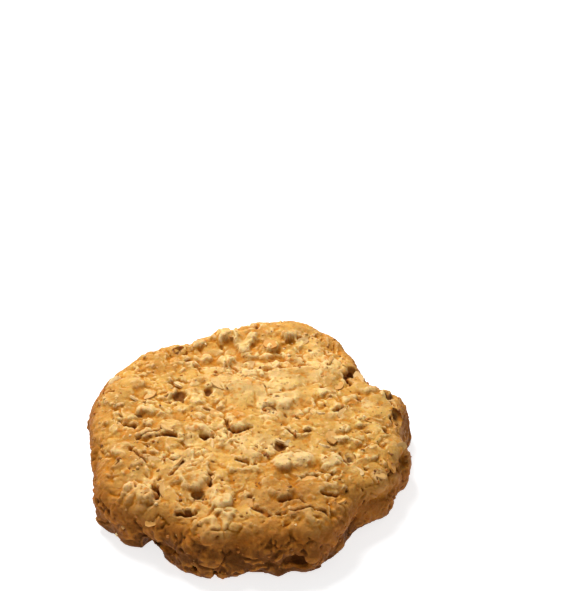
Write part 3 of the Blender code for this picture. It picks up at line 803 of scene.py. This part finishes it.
def depth_inside(points):
    """How far a point lies under the plain disc's skin, in mm: more than 0 only in the hollows."""
    upper = points[:, 2] > WAIST_HEIGHT
    across = np.where(upper, SHOULDER_POWERS[0], FOOT_POWERS[0])
    along = np.where(upper, SHOULDER_POWERS[1], FOOT_POWERS[1])
    tall = np.where(upper, THICKNESS - WAIST_HEIGHT, WAIST_HEIGHT)
    rim = outline_radius(np.arctan2(points[:, 1], points[:, 0]))
    share = np.clip(np.hypot(points[:, 0], points[:, 1]) / rim, 0.02, 1.0)
    rise = np.clip(np.abs(points[:, 2] - WAIST_HEIGHT) / tall, 0.02, 1.0)
    fill = share**across + rise**along
    slope = np.hypot(across * share ** (across - 1.0) / rim, along * rise ** (along - 1.0) / tall)
    return np.clip((1.0 - fill) / np.maximum(slope, 1e-3), 0.0, 8.0)


sunk = depth_inside(points)
relief = lumps + (relief - lumps) * (0.25 + 0.75 * smooth_step(0.5, 3.0, points[:, 2]))
relief *= smooth_step(0.0, 0.7, points[:, 2]) * (1.0 - 0.8 * smooth_step(0.15, 1.0, sunk))
# The holes also get painted shade in the finish
painted_pit_shade = np.maximum(painted_pit_shade, smooth_step(0.5, 2.2, sunk))
places = points + normals * relief[:, None]
places[places[:, 2] < FLAT_BELOW, 2] = 0.0
print(int((sunk > 0.5).sum()), "vertices lie in the holes")

# %% [markdown]
# The finish paints shade into low spots and a highlight onto high spots, so the same heights guide
# it: how deep a spot lies beside its neighbours, over a narrow, a middle and a wide ring.

# %% Depth beside the neighbours
EDGE_ROUNDS, HOLLOW_ROUNDS, WIDE_ROUNDS = 4, 16, 110


def spread_out(mesh, values, rounds):
    """Averages a value over ever wider neighbourhoods of each vertex."""
    count = len(mesh.vertices)
    ends = np.empty(len(mesh.edges) * 2, dtype=int)
    mesh.edges.foreach_get("vertices", ends)
    first, second = ends.reshape(-1, 2).T
    links = np.bincount(ends, minlength=count)
    smooth = values.copy()
    for _ in range(rounds):
        around = np.bincount(first, smooth[second], count) + np.bincount(second, smooth[first], count)
        smooth = 0.5 * smooth + 0.5 * around / links
    return smooth


edge = (spread_out(dough.data, relief, EDGE_ROUNDS) - relief) / 0.12
hollow = (spread_out(dough.data, relief, HOLLOW_ROUNDS) - relief) / 0.35
wide_hollow = (spread_out(dough.data, relief, WIDE_ROUNDS) - relief) / 0.8
print("hollows up to", round(hollow.max(), 2), "and wide ones up to", round(wide_hollow.max(), 2))

# %% [markdown]
# The wall is browner than the top, and the foot the most: partly the oven's browning, where the
# foot touched the hot tray, and partly painted shade on the wall and foot that face away from the
# lamp. The front of the top is darker with painted shade, as if the light fell off towards it, one
# side is lighter with painted light, and a few broad patches are paler or browner.

# %% How brown and how shaded each place is
# Broad patches of the top that are paler or browner: x, y, radius, tone
PATCHES = (
    (0, 11, 10, 0.6), (-14, -12, 6, 0.4), (14, 23, 6, 0.5), (-3, 25, 6, 0.3), (9, -24, 10, -1),
    (17, -6, 7, -0.5), (-24, -5, 8, -0.6), (-30, 9, 7, -0.4), (-19, 20, 5, -0.8), (-5, -6, 5, 0.6),
    (22, -24, 8, -0.6), (8.5, 5, 6, 0.5), (16, 16, 5, 0.6), (15, -35, 5, 0.8), (-6, -34, 6, 0.5),
    (-31, -16, 7, -0.8), (-7, -26, 6, 0.6), (-25, -22.5, 5, 0.7), (-30, -9, 4, 0.3), (-22, 1, 5, 0.2),
)
# The side that gets painted light: its direction in degrees and its half width
LIT_SIDE_ANGLE, LIT_SIDE_HALF_WIDTH = -35.0, 28.0
BROWNING_HEIGHT = 12.5

around = np.arctan2(points[:, 1], points[:, 0])
edge_share = np.hypot(points[:, 0], points[:, 1]) / outline_radius(around)
wobble = noise_at(points, 7.0, 60.0)
broad = np.zeros(len(points))
for x, y, size, patch_tone in PATCHES:
    broad += patch_tone * np.exp(-((points[:, 0] - x) ** 2 + (points[:, 1] - y) ** 2) / size**2)
# Painted shade that grows towards the front of the top, as if the light fell off there
front = smooth_step(2.0, 34.0, -points[:, 1])
# One side of the cookie gets painted light, as less browning there
lit_side = np.exp(-(((np.degrees(around) - LIT_SIDE_ANGLE) / LIT_SIDE_HALF_WIDTH) ** 2))
upward = smooth_step(0.2, 0.9, normals[:, 2])
# The wall is browner than the top, and the more so the lower and the nearer to the front: partly browning,
# partly painted shade
toast_and_shading = 0.62 * (1.0 - normals[:, 2]) + 0.5 * (1.0 - points[:, 2] / BROWNING_HEIGHT)
toast_and_shading = toast_and_shading + 0.16 * wobble - 0.34 * lit_side
toast_and_shading += 0.20 * front * upward - 0.22 * broad
# The front of the wall darker still: painted shade
toast_and_shading += 0.34 * smooth_step(24.0, 36.0, -points[:, 1]) * (1.0 - upward)
rim = smooth_step(0.80, 1.0, edge_share + 0.05 * wobble)
print("toast from", round(toast_and_shading.min(), 2), "to", round(toast_and_shading.max(), 2))

# %% [markdown]
# The raised places are written to the mesh, moved to where the solid stands. The guides go with it
# as point attributes, which the finish reads by name.

# %% The finished dough
CAD_MIDDLE = np.array((-0.58, 1.27, 0.0))

write_places(dough, places - CAD_MIDDLE)
store(dough, "tone", tone)
store(dough, "painted_pit_shade", painted_pit_shade)
store(dough, "edge", np.clip(edge, -1.0, 1.0))
store(dough, "hollow", np.clip(hollow, -1.0, 1.0))
store(dough, "wide_hollow", np.clip(wide_hollow, -1.0, 1.0))
store(dough, "toast_and_shading", toast_and_shading)
store(dough, "broad", broad)
store(dough, "rim", rim)
pick(dough)
bpy.ops.object.shade_smooth()
print("dough", dough.dimensions[:], len(dough.data.polygons), "faces")

# %% [markdown]
# Some flakes broke through the skin and lie bare, with a dry, whitish face. A rolled oat is an
# oval disc, thin at the rim, with a crease along its middle. It starts as a flat cylinder. Two
# insets make a rim and a face, a bisect lays an edge along the middle for the crease, and a
# random move of the vertices makes it uneven. Four such flakes are enough, because each copy is
# stretched, turned and tilted in its own way.

# %% Model of a rolled oat
FLAKE_THICKNESS = 0.42
CREASE_DROP = 0.10
FLAKE_UNEVENNESS = 0.09


def oat_flake(name, seed):
    deselect_all()
    bpy.ops.mesh.primitive_cylinder_add(vertices=12, radius=MM, depth=FLAKE_THICKNESS * MM)
    flake = bpy.context.object
    flake.name = name
    for side in (1.0, -1.0):
        select_faces(flake, lambda centre, normal, side=side: normal.z * side > 0.9)
        bpy.ops.mesh.inset(thickness=0.22 * MM)
        bpy.ops.mesh.inset(thickness=0.34 * MM)
        bpy.ops.transform.translate(value=(0.0, 0.0, 0.05 * side * MM))
        bpy.ops.object.mode_set(mode="OBJECT")
    bpy.ops.object.mode_set(mode="EDIT")
    bpy.ops.mesh.select_all(action="SELECT")
    bpy.ops.mesh.bisect(plane_co=(0.0, 0.02 * MM, 0.0), plane_no=(0.0, 1.0, 0.0))
    bpy.ops.transform.translate(value=(0.0, 0.0, -CREASE_DROP * MM))
    bpy.ops.mesh.select_all(action="SELECT")
    bpy.ops.transform.vertex_random(offset=FLAKE_UNEVENNESS * MM, uniform=0.8, normal=0.2, seed=seed)
    bpy.ops.object.mode_set(mode="OBJECT")
    bpy.ops.object.shade_smooth_by_angle(angle=math.radians(50.0))
    return flake


flake_models = [oat_flake(f"flake_model_{seed}", seed) for seed in range(4)]
print("a flake has", len(flake_models[0].data.polygons), "faces")

# %% [markdown]
# Each copy is dropped on the dough from above, or from outside on the wall, and its place is
# found with a ray. It is tilted between the dough's slope and the level, and sits half sunk, as
# if it had baked in. The tone of a copy goes with it as an attribute, and at the end all copies
# are joined to one piece, so that the flakes need one finish.

# %% Helpers that lay copies on the dough
OUTSIDE = 80.0


def touch_down(x, y):
    """The dough's point and normal below a place given in mm."""
    start = Vector((x, y, 2.0 * THICKNESS)) * MM
    hit, point, normal, _ = dough.ray_cast(start, Vector((0.0, 0.0, -1.0)))
    return (point, normal) if hit else (None, None)


def touch_wall(turn, height):
    """The dough's point and normal met from outside, at an angle in degrees and a height in mm."""
    way = Vector((math.cos(math.radians(turn)), math.sin(math.radians(turn)), 0.0))
    start = way * OUTSIDE * MM + Vector((0.0, 0.0, height)) * MM
    hit, point, normal, _ = dough.ray_cast(start, -way)
    return (point, normal) if hit else (None, None)


def lay(model, name, point, normal, size, spin, tilt, level, sink, tone):
    """A copy of a model on the dough, its size and sink in mm. level is its share of the upright."""
    copy = model.copy()
    copy.data = model.data.copy()
    copy.name = name
    upright = Vector((0.0, 0.0, 1.0)) if normal.z > -0.2 else -normal
    up = (normal * (1.0 - level) + upright * level).normalized()
    stand = up.to_track_quat("Z", "X").to_matrix().to_4x4()
    turn = Matrix.Rotation(math.radians(spin), 4, "Z") @ Matrix.Rotation(math.radians(tilt), 4, "X")
    place = Matrix.Translation(point - normal * sink * MM)
    copy.data.transform(place @ stand @ turn @ Matrix.Diagonal((*size, 1.0)))
    store(copy, "tone", np.full(len(copy.data.vertices), tone))
    scene.collection.objects.link(copy)
    return copy


def join(copies, name):
    deselect_all()
    for copy in copies:
        copy.select_set(True)
    bpy.context.view_layer.objects.active = copies[0]
    bpy.ops.object.join()
    whole = bpy.context.object
    whole.name = name
    whole.data.name = name
    return whole


def remove(models):
    for model in models:
        bpy.data.objects.remove(model)

# %% [markdown]
# The bare flakes that the eye picks out are listed. Two dozen more are laid on a spiral that turns
# by the golden angle, because that spreads them evenly without a pattern.

# %% Bare flakes
# On the top: x, y, half length, half width, turn, tilt, tone
BARE_FLAKES = (
    (-16.6, -15.2, 2.4, 1, 58, 28, 0.1), (-14.8, -16.2, 2.2, 0.8, 58, 24, -0.1),
    (-18.8, -23.4, 2.2, 1.1, 80, 50, -0.1), (25.4, -16.4, 1, 0.7, 8, 20, 0),
    (-17.4, 12.2, 1.4, 1.1, 60, 34, 0.7), (-27.2, 6.8, 1.4, 0.9, -20, 30, 0.5),
    (18.2, 20.8, 3.2, 1.2, -20, 50, -0.5), (11.6, 29.4, 1.7, 0.9, 84, 50, 0.3),
    (-8, 11.8, 2.3, 1.7, 15, 16, 0.3), (33.8, -7.6, 1.9, 1, 60, -30, -0.1),
    (31.4, -12.8, 2, 1.3, -40, 30, -0.8), (-32.6, 14.2, 1.8, 1.2, 70, 50, 0.8),
    (6.6, -7.6, 1.4, 1, 20, 26, 0.6), (16.4, -9.2, 1.4, 0.9, -40, 30, 0.9),
    (-2, 20.6, 2.4, 1.2, -6, 20, 0.3), (25, 15.2, 2.6, 1.1, 80, 55, 0.4),
    (32.2, 8.6, 1.3, 1, 10, 20, 0.3), (19.6, -25.8, 1.6, 1.1, 30, 30, -0.6),
    (28.4, -17, 1.8, 1.2, 30, 14, -0.1), (21, 2, 1.8, 1.1, 30, 20, 0.2), (15.7, 2, 1, 0.7, 60, 30, 1),
    (8.2, -8.4, 0.9, 0.7, -30, 30, 1), (13.1, -2, 1, 0.8, 70, 40, -1),
)
# On the wall: angle, height, half length, half width, turn, tilt, tone
WALL_FLAKES = (
    (237.5, 10.5, 1.9, 0.9, 115, 25, -0.5), (224, 2.6, 0.6, 0.5, 0, 20, 0.9),
)
BARE_STREW_COUNT = 24
BARE_STREW_RADIUS = 31.0
FLAKE_SINK, STREWN_FLAKE_SINK = 0.2, 0.25

draw = random.Random(SEED + 5)
golden_turn = math.pi * (3.0 - math.sqrt(5.0))
flakes = []


def lay_flake(touched, size, turn, tilt, level, sink, tone):
    flakes.append(lay(draw.choice(flake_models), "flake", *touched, size, turn, tilt, level, sink, tone))


for x, y, half_length, half_width, turn, tilt, tone in BARE_FLAKES:
    touched = touch_down(x - CAD_MIDDLE[0], y - CAD_MIDDLE[1])
    lay_flake(touched, (half_length, half_width, 1.0), turn, tilt, 0.5, FLAKE_SINK, tone)
for angle, height, half_length, half_width, turn, tilt, tone in WALL_FLAKES:
    lay_flake(touch_wall(angle, height), (half_length, half_width, 1.0), turn, tilt, 0.0, FLAKE_SINK, tone)
for number in range(BARE_STREW_COUNT):
    radius = BARE_STREW_RADIUS * math.sqrt((number + 0.5) / BARE_STREW_COUNT)
    angle = number * golden_turn + 0.7
    touched = touch_down(radius * math.cos(angle), radius * math.sin(angle))
    half_length = draw.uniform(1.2, 2.0)
    size = (half_length, half_length * draw.uniform(0.5, 0.75), 0.9)
    spin, tilt, tone = draw.uniform(0.0, 180.0), draw.uniform(8.0, 30.0), draw.uniform(-0.7, 0.5)
    lay_flake(touched, size, spin, tilt, 0.5, STREWN_FLAKE_SINK, tone)
oat_flakes = join(flakes, "oat_flakes")
remove(flake_models)
print(len(flakes), "bare flakes,", len(oat_flakes.data.polygons), "faces")

# %% [markdown]
# Crumbs and grains cling to the dough: cream bits of oat, amber bits of sugar and brown bran.
# One crumb is a ball of twenty faces, pushed out of shape, in six models. They are small and
# many, so they are laid by chance, but closer together where the dough is open.

# %% Crumbs
CRUMB_TRIES = 1300
CRUMB_HALF_SIZES = (0.14, 0.50)
CRUMB_SINK = 0.35
CRUMB_RADIUS, CRUMB_HEIGHTS = 36.5, (0.6, 12.5)


def crumb_model(seed):
    deselect_all()
    bpy.ops.mesh.primitive_ico_sphere_add(subdivisions=1, radius=MM)
    crumb = bpy.context.object
    bpy.ops.object.mode_set(mode="EDIT")
    bpy.ops.mesh.select_all(action="SELECT")
    bpy.ops.transform.vertex_random(offset=0.45 * MM, uniform=1.0, normal=0.0, seed=seed)
    bpy.ops.object.mode_set(mode="OBJECT")
    return crumb


crumb_models = [crumb_model(seed + 20) for seed in range(6)]
draw = random.Random(SEED + 6)
crumbs = []
for number in range(CRUMB_TRIES):
    if number % 5 < 3:
        point, normal = touch_down(*random_place(draw, CRUMB_RADIUS))
    else:
        point, normal = touch_wall(draw.uniform(0.0, 360.0), draw.uniform(*CRUMB_HEIGHTS))
    half_size = CRUMB_HALF_SIZES[0] + (CRUMB_HALF_SIZES[1] - CRUMB_HALF_SIZES[0]) * draw.random() ** 3
    size = [half_size * draw.uniform(0.7, 1.3) for _ in range(3)]
    spin, tilt, tone = draw.uniform(0.0, 360.0), draw.uniform(0.0, 90.0), draw.uniform(-1.0, 1.0)
    if number % 5 > 2:
        tone = -0.35 + 0.35 * tone
    if point is None or noise.noise(point / MM / 8.0) < draw.uniform(-0.5, 0.3):
        continue
    model = draw.choice(crumb_models)
    crumbs.append(lay(model, "crumb", point, normal, size, spin, tilt, 0.0, CRUMB_SINK * half_size, tone))
crumb_piece = join(crumbs, "crumbs")
remove(crumb_models)
pick(crumb_piece)
bpy.ops.object.shade_smooth()
print(len(crumbs), "crumbs,", len(crumb_piece.data.polygons), "faces")

# %% [markdown]
# A finish is a graph of nodes, and its sums are easier to read as Python. So a small class wraps
# a socket, and + - * on it add the Math nodes. Every other node comes from one method, which
# takes the node's kind, its settings and what goes into its sockets.

# %% Shader sums
class Sum:
    """One output of a shader node, on which sums can be written."""

    def __init__(self, socket):
        self.socket = socket
        self.tree = socket.id_data

    def combine(self, operation, first, second):
        made = self.tree.nodes.new("ShaderNodeMath")
        made.operation = operation
        connect(self.tree, made.inputs[0], first)
        connect(self.tree, made.inputs[1], second)
        return Sum(made.outputs[0])

    def __add__(self, other):
        return self.combine("ADD", self, other)

    def __sub__(self, other):
        return self.combine("SUBTRACT", self, other)

    def __mul__(self, other):
        return self.combine("MULTIPLY", self, other)

    def __rsub__(self, other):
        return self.combine("SUBTRACT", other, self)

    __radd__ = __add__
    __rmul__ = __mul__


def connect(tree, socket, value):
    if isinstance(value, Sum):
        tree.links.new(value.socket, socket)
    else:
        socket.default_value = value

# %% [markdown]
# A finish is begun with one colour, and coat after coat is blended over it, each where a guide
# says so. The guides are the attributes of the dough and speckles of noise, and a speckle also
# makes the edge of each coat uneven.

# %% A finish in the making
class Finish:
    """A material in the making."""

    def __init__(self, name):
        self.material = bpy.data.materials.new(name)
        self.material.use_nodes = True
        self.tree = self.material.node_tree
        self.shader = self.tree.nodes["Principled BSDF"]
        self.colour = None

    def node(self, kind, settings=None, inputs=None, output=0):
        made = self.tree.nodes.new("ShaderNode" + kind)
        for name, value in (settings or {}).items():
            setattr(made, name, value)
        for name, value in (inputs or {}).items():
            connect(self.tree, made.inputs[name], value)
        return Sum(made.outputs[output])

    def blend(self, share, first, second):
        return self.node("Mix", {"data_type": "RGBA"}, {0: share, 6: first, 7: second}, 2)

    def coat(self, share, tint):
        """Lays a colour over the colour so far, by a share from 0 to 1."""
        self.colour = self.blend(share, self.colour, tint)

    def guide(self, name):
        return self.node("Attribute", {"attribute_name": name}, output=2)

    def object_place(self):
        return self.node("TexCoord", output=3)

    def speckle(self, size, detail=2.0, roughness=0.5):
        """Even noise from 0 to 1, of spots about the given size in millimetres."""
        inputs = {"Vector": self.object_place(), "Scale": 1.0 / (size * MM)}
        return self.node("TexNoise", None, inputs | {"Detail": detail, "Roughness": roughness})

    def dots(self, size):
        """Distance from the nearest of a net of random dots, in shares of their pitch in millimetres."""
        return self.node("TexVoronoi", None, {"Vector": self.object_place(), "Scale": 1.0 / (size * MM)})

    def step(self, value, low, high):
        """Rises smoothly from 0 at low to 1 at high."""
        settings = {"interpolation_type": "SMOOTHSTEP"}
        return self.node("MapRange", settings, {"Value": value, "From Min": low, "From Max": high})

    def where(self, guide, grain, unevenness, low, high):
        """Rises from 0 to 1 as a guide goes from low to high, and a speckle makes its edge uneven."""
        return self.step(guide + (grain - 0.5) * unevenness, low, high)

    def into(self, **values):
        """Feeds the shader: a socket's name with _ for a space, and what goes into it."""
        for name, value in values.items():
            connect(self.tree, self.shader.inputs[name.replace("_", " ")], value)
        return self.material

# %% [markdown]
# Baked dough is tan where it is smooth, cream where an oat flake dries out just under the skin,
# and orange brown where it toasts. Hollows, pores and creases are darker and redder with painted
# shade, and raised edges and lumps are lighter with a painted highlight. The wall turns brown
# towards the foot, partly browning and partly painted shade, and its lumps get a painted highlight.
# Fine brown dots of bran and larger amber bits of sugar break up every even patch. Light goes a
# millimetre deep into dough and softens every shade, so the shader has a little subsurface.

# %% Finish of the dough
TAN = (0.54, 0.282, 0.064, 1.0)
GOLD = (0.73, 0.412, 0.096, 1.0)
# Cream: pale flakes and patches, and also the painted highlight on raised edges and lumps
CREAM = (0.92, 0.68, 0.310, 1.0)
TOASTED = (0.62, 0.225, 0.022, 1.0)
DRAB = (0.43, 0.200, 0.034, 1.0)
# Painted shade in the hollows and creases of the top
HOLLOW_SHADE = (0.52, 0.178, 0.005, 1.0)
# Brown of the top: partly toasting, and partly painted shade at the front
TOP_BROWN_AND_SHADE = (0.57, 0.255, 0.045, 1.0)
# Painted highlight on the lumps of the wall
OCHRE = (0.56, 0.205, 0.022, 1.0)
# Painted shade in pits, pores, cracks and holes
PIT_SHADE = (0.14, 0.042, 0.006, 1.0)
# Brown of the wall: partly browning, partly painted shade
BROWN = (0.30, 0.088, 0.004, 1.0)
RUST = (0.44, 0.130, 0.004, 1.0)
# The foot's brown, partly browning and partly painted shade, also used as painted shade in the wall's
# hollows
FOOT_BROWN_AND_SHADE = (0.115, 0.034, 0.002, 1.0)
BRAN = (0.28, 0.100, 0.015, 1.0)


def dough_finish():
    finish = Finish("baked_dough")
    tone, painted_pit_shade, hollow = finish.guide("tone"), finish.guide("painted_pit_shade"), finish.guide("hollow")
    wide, toast_and_shading, rim = finish.guide("wide_hollow"), finish.guide("toast_and_shading"), finish.guide("rim")
    patch, edge = finish.guide("broad"), finish.guide("edge")
    coarse = finish.speckle(4.2, 6.0, 0.6)
    middle = finish.speckle(2.2, 4.0, 0.6)
    patch = patch + (finish.speckle(9.0, 3.0, 0.5) - 0.5) * 1.3
    small = finish.speckle(1.1, 6.0, 0.65)
    grit = finish.speckle(0.28, 2.0, 0.7)
    finish.colour = finish.blend(finish.step(coarse, 0.40, 0.58), TAN, GOLD)
    wall = finish.step(toast_and_shading, 0.35, 0.75)
    off_wall = 1.0 - wall * 0.8
    finish.coat(finish.where(patch, middle, 0.8, 0.0, 0.9) * 0.5, CREAM)
    finish.coat(finish.where(0.0 - patch, middle, 0.8, 0.0, 0.9) * 0.7, DRAB)
    finish.coat(finish.where(tone, middle, 1.6, 0.15, 1.1) * off_wall * 0.7, CREAM)
    finish.coat(finish.where(0.0 - tone, middle, 1.6, 0.2, 1.1) * 0.6, TOASTED)
    # Painted highlight: cream over raised spots, edges and lumps of the top
    finish.coat(finish.where(0.0 - wide, small, 1.2, 0.1, 0.9) * off_wall * 0.35, CREAM)
    finish.coat(finish.where(0.0 - hollow, small, 1.6, 0.2, 0.9) * off_wall * 0.4, CREAM)
    finish.coat(finish.where(0.0 - edge, small, 1.0, 0.2, 0.9) * off_wall * 0.5, CREAM)
    orange = finish.step(finish.speckle(1.5, 3.0, 0.55), 0.54, 0.66)
    orange = orange * finish.step(finish.speckle(6.0), 0.42, 0.58)
    finish.coat(orange * 0.75, TOASTED)
    finish.coat(rim * 0.4, TOASTED)
    # Browner with the browning guide: partly toasting, partly painted shade at the front and on the wall,
    # and less on one side with painted light
    finish.coat(finish.where(toast_and_shading, middle, 0.4, -0.15, 0.35) * 0.6, TOP_BROWN_AND_SHADE)
    finish.coat(finish.where(toast_and_shading, middle, 0.4, 0.05, 0.65) * 0.85, BROWN)
    rusty = finish.step(finish.speckle(3.0, 4.0, 0.6), 0.48, 0.60) * finish.step(toast_and_shading, 0.4, 1.0)
    finish.coat(rusty * 0.7, RUST)
    # The foot darkest: partly browning, partly painted shade
    finish.coat(finish.where(toast_and_shading, middle, 0.5, 0.75, 1.15) * 0.8, FOOT_BROWN_AND_SHADE)
    # Painted highlight: ochre on raised lumps of the wall
    lit = finish.where(0.0 - hollow - wide * 0.5, middle, 2.0, 0.1, 0.9)
    finish.coat(lit * wall * 0.6, OCHRE)
    # Painted shade: darker and redder in wide hollows, hollows and creases, browner on the wall
    deep = finish.blend(wall, HOLLOW_SHADE, FOOT_BROWN_AND_SHADE)
    finish.coat(finish.where(wide, small, 0.8, 0.0, 0.8) * 0.6, deep)
    finish.coat(finish.where(hollow, small, 0.8, 0.05, 0.75) * 0.5, deep)
    finish.coat(finish.where(edge, small, 0.6, 0.2, 0.9) * 0.45, deep)
    # Painted shade: near black brown in pits, pores, cracks and holes
    finish.coat(finish.where(painted_pit_shade, small, 0.5, 0.35, 0.9) * 0.85, PIT_SHADE)
    spots = finish.step(finish.dots(1.5), 0.30, 0.16) * finish.step(finish.speckle(3.0), 0.48, 0.60)
    finish.coat(spots * 0.5, BRAN)
    amber = finish.step(finish.dots(3.0), 0.27, 0.16) * finish.step(finish.speckle(7.0), 0.46, 0.54)
    finish.coat(amber * off_wall * 0.85, TOASTED)
    rough = 0.60 + (small - 0.5) * 0.4 - finish.step(grit, 0.60, 0.70) * 0.25
    height = small + grit * 0.25
    bump = finish.node("Bump", None, {"Height": height, "Distance": 0.55 * MM, "Strength": 1.0})
    finish.into(Subsurface_Weight=0.35, Subsurface_Radius=(1.0, 0.42, 0.14), Subsurface_Scale=1.1 * MM)
    return finish.into(Base_Color=finish.colour, Roughness=rough, Normal=bump, Specular_IOR_Level=0.1)

# %% [markdown]
# Bare oat is paler and drier than dough, and amber where it toasted. The crumbs are a mix: rust
# brown dough, oat, pale oat and bran, and the tone that each one carries says which it is.

# %% Finishes of the flakes and crumbs
OAT = (0.66, 0.37, 0.115, 1.0)
OAT_PALE = (0.84, 0.61, 0.30, 1.0)
AMBER = (0.66, 0.27, 0.030, 1.0)


def flake_finish():
    finish = Finish("oat_flake")
    tone = finish.guide("tone")
    fine = finish.speckle(0.9, 4.0, 0.6)
    finish.colour = finish.blend(finish.where(tone, fine, 0.8, 0.0, 1.0), OAT, OAT_PALE)
    finish.coat(finish.where(0.0 - tone, fine, 0.8, 0.1, 1.0), AMBER)
    bump = finish.node("Bump", None, {"Height": fine, "Distance": 0.3 * MM, "Strength": 0.8})
    return finish.into(Base_Color=finish.colour, Roughness=0.6, Normal=bump, Specular_IOR_Level=0.25)


def crumb_finish():
    finish = Finish("crumb")
    tone = finish.guide("tone")
    finish.colour = finish.blend(finish.step(tone, -0.2, 0.1), RUST, OAT)
    finish.coat(finish.step(tone, 0.70, 0.95), OAT_PALE)
    finish.coat(finish.step(tone, -0.55, -0.70), BRAN)
    return finish.into(Base_Color=finish.colour, Roughness=0.5, Specular_IOR_Level=0.3)


for piece, finish in ((oat_flakes, flake_finish()), (crumb_piece, crumb_finish()), (dough, dough_finish())):
    piece.data.materials.clear()
    piece.data.materials.append(finish)
print("dough finish has", len(dough.data.materials[0].node_tree.nodes), "nodes")

# %% [markdown]
# The table is a plain white sheet. It is stage, not part of the cookie, and lies a hair's breadth
# under the cookie's flat foot, because two surfaces in one plane would flicker.

# %% Table
TABLE_GAP = 0.02

bpy.ops.mesh.primitive_plane_add(size=4.0)
table = bpy.context.object
table.name = "table"
table.data.transform(Matrix.Translation((0.0, 0.0, -TABLE_GAP * MM)))
table_finish = Finish("white_table")
table_look = {"Base_Color": (0.55, 0.55, 0.55, 1.0), "Roughness": 0.9, "Specular_IOR_Level": 0.1}
table_look |= {"Emission_Color": (1.0, 1.0, 1.0, 1.0), "Emission_Strength": 0.75}
table.data.materials.append(table_finish.into(**table_look))
table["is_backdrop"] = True
print("table laid")

# %% [markdown]
# Last, every piece is tied to the solid's one body, the fine dough stands in for the solid, and the
# box of what is shown is printed.

# %% Tie the pieces to the solid and finish
for piece in (dough, oat_flakes, crumb_piece):
    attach(piece, "root")
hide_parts(NODE)
bpy.context.view_layer.update()
low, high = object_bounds()
print("visual box", low, high)
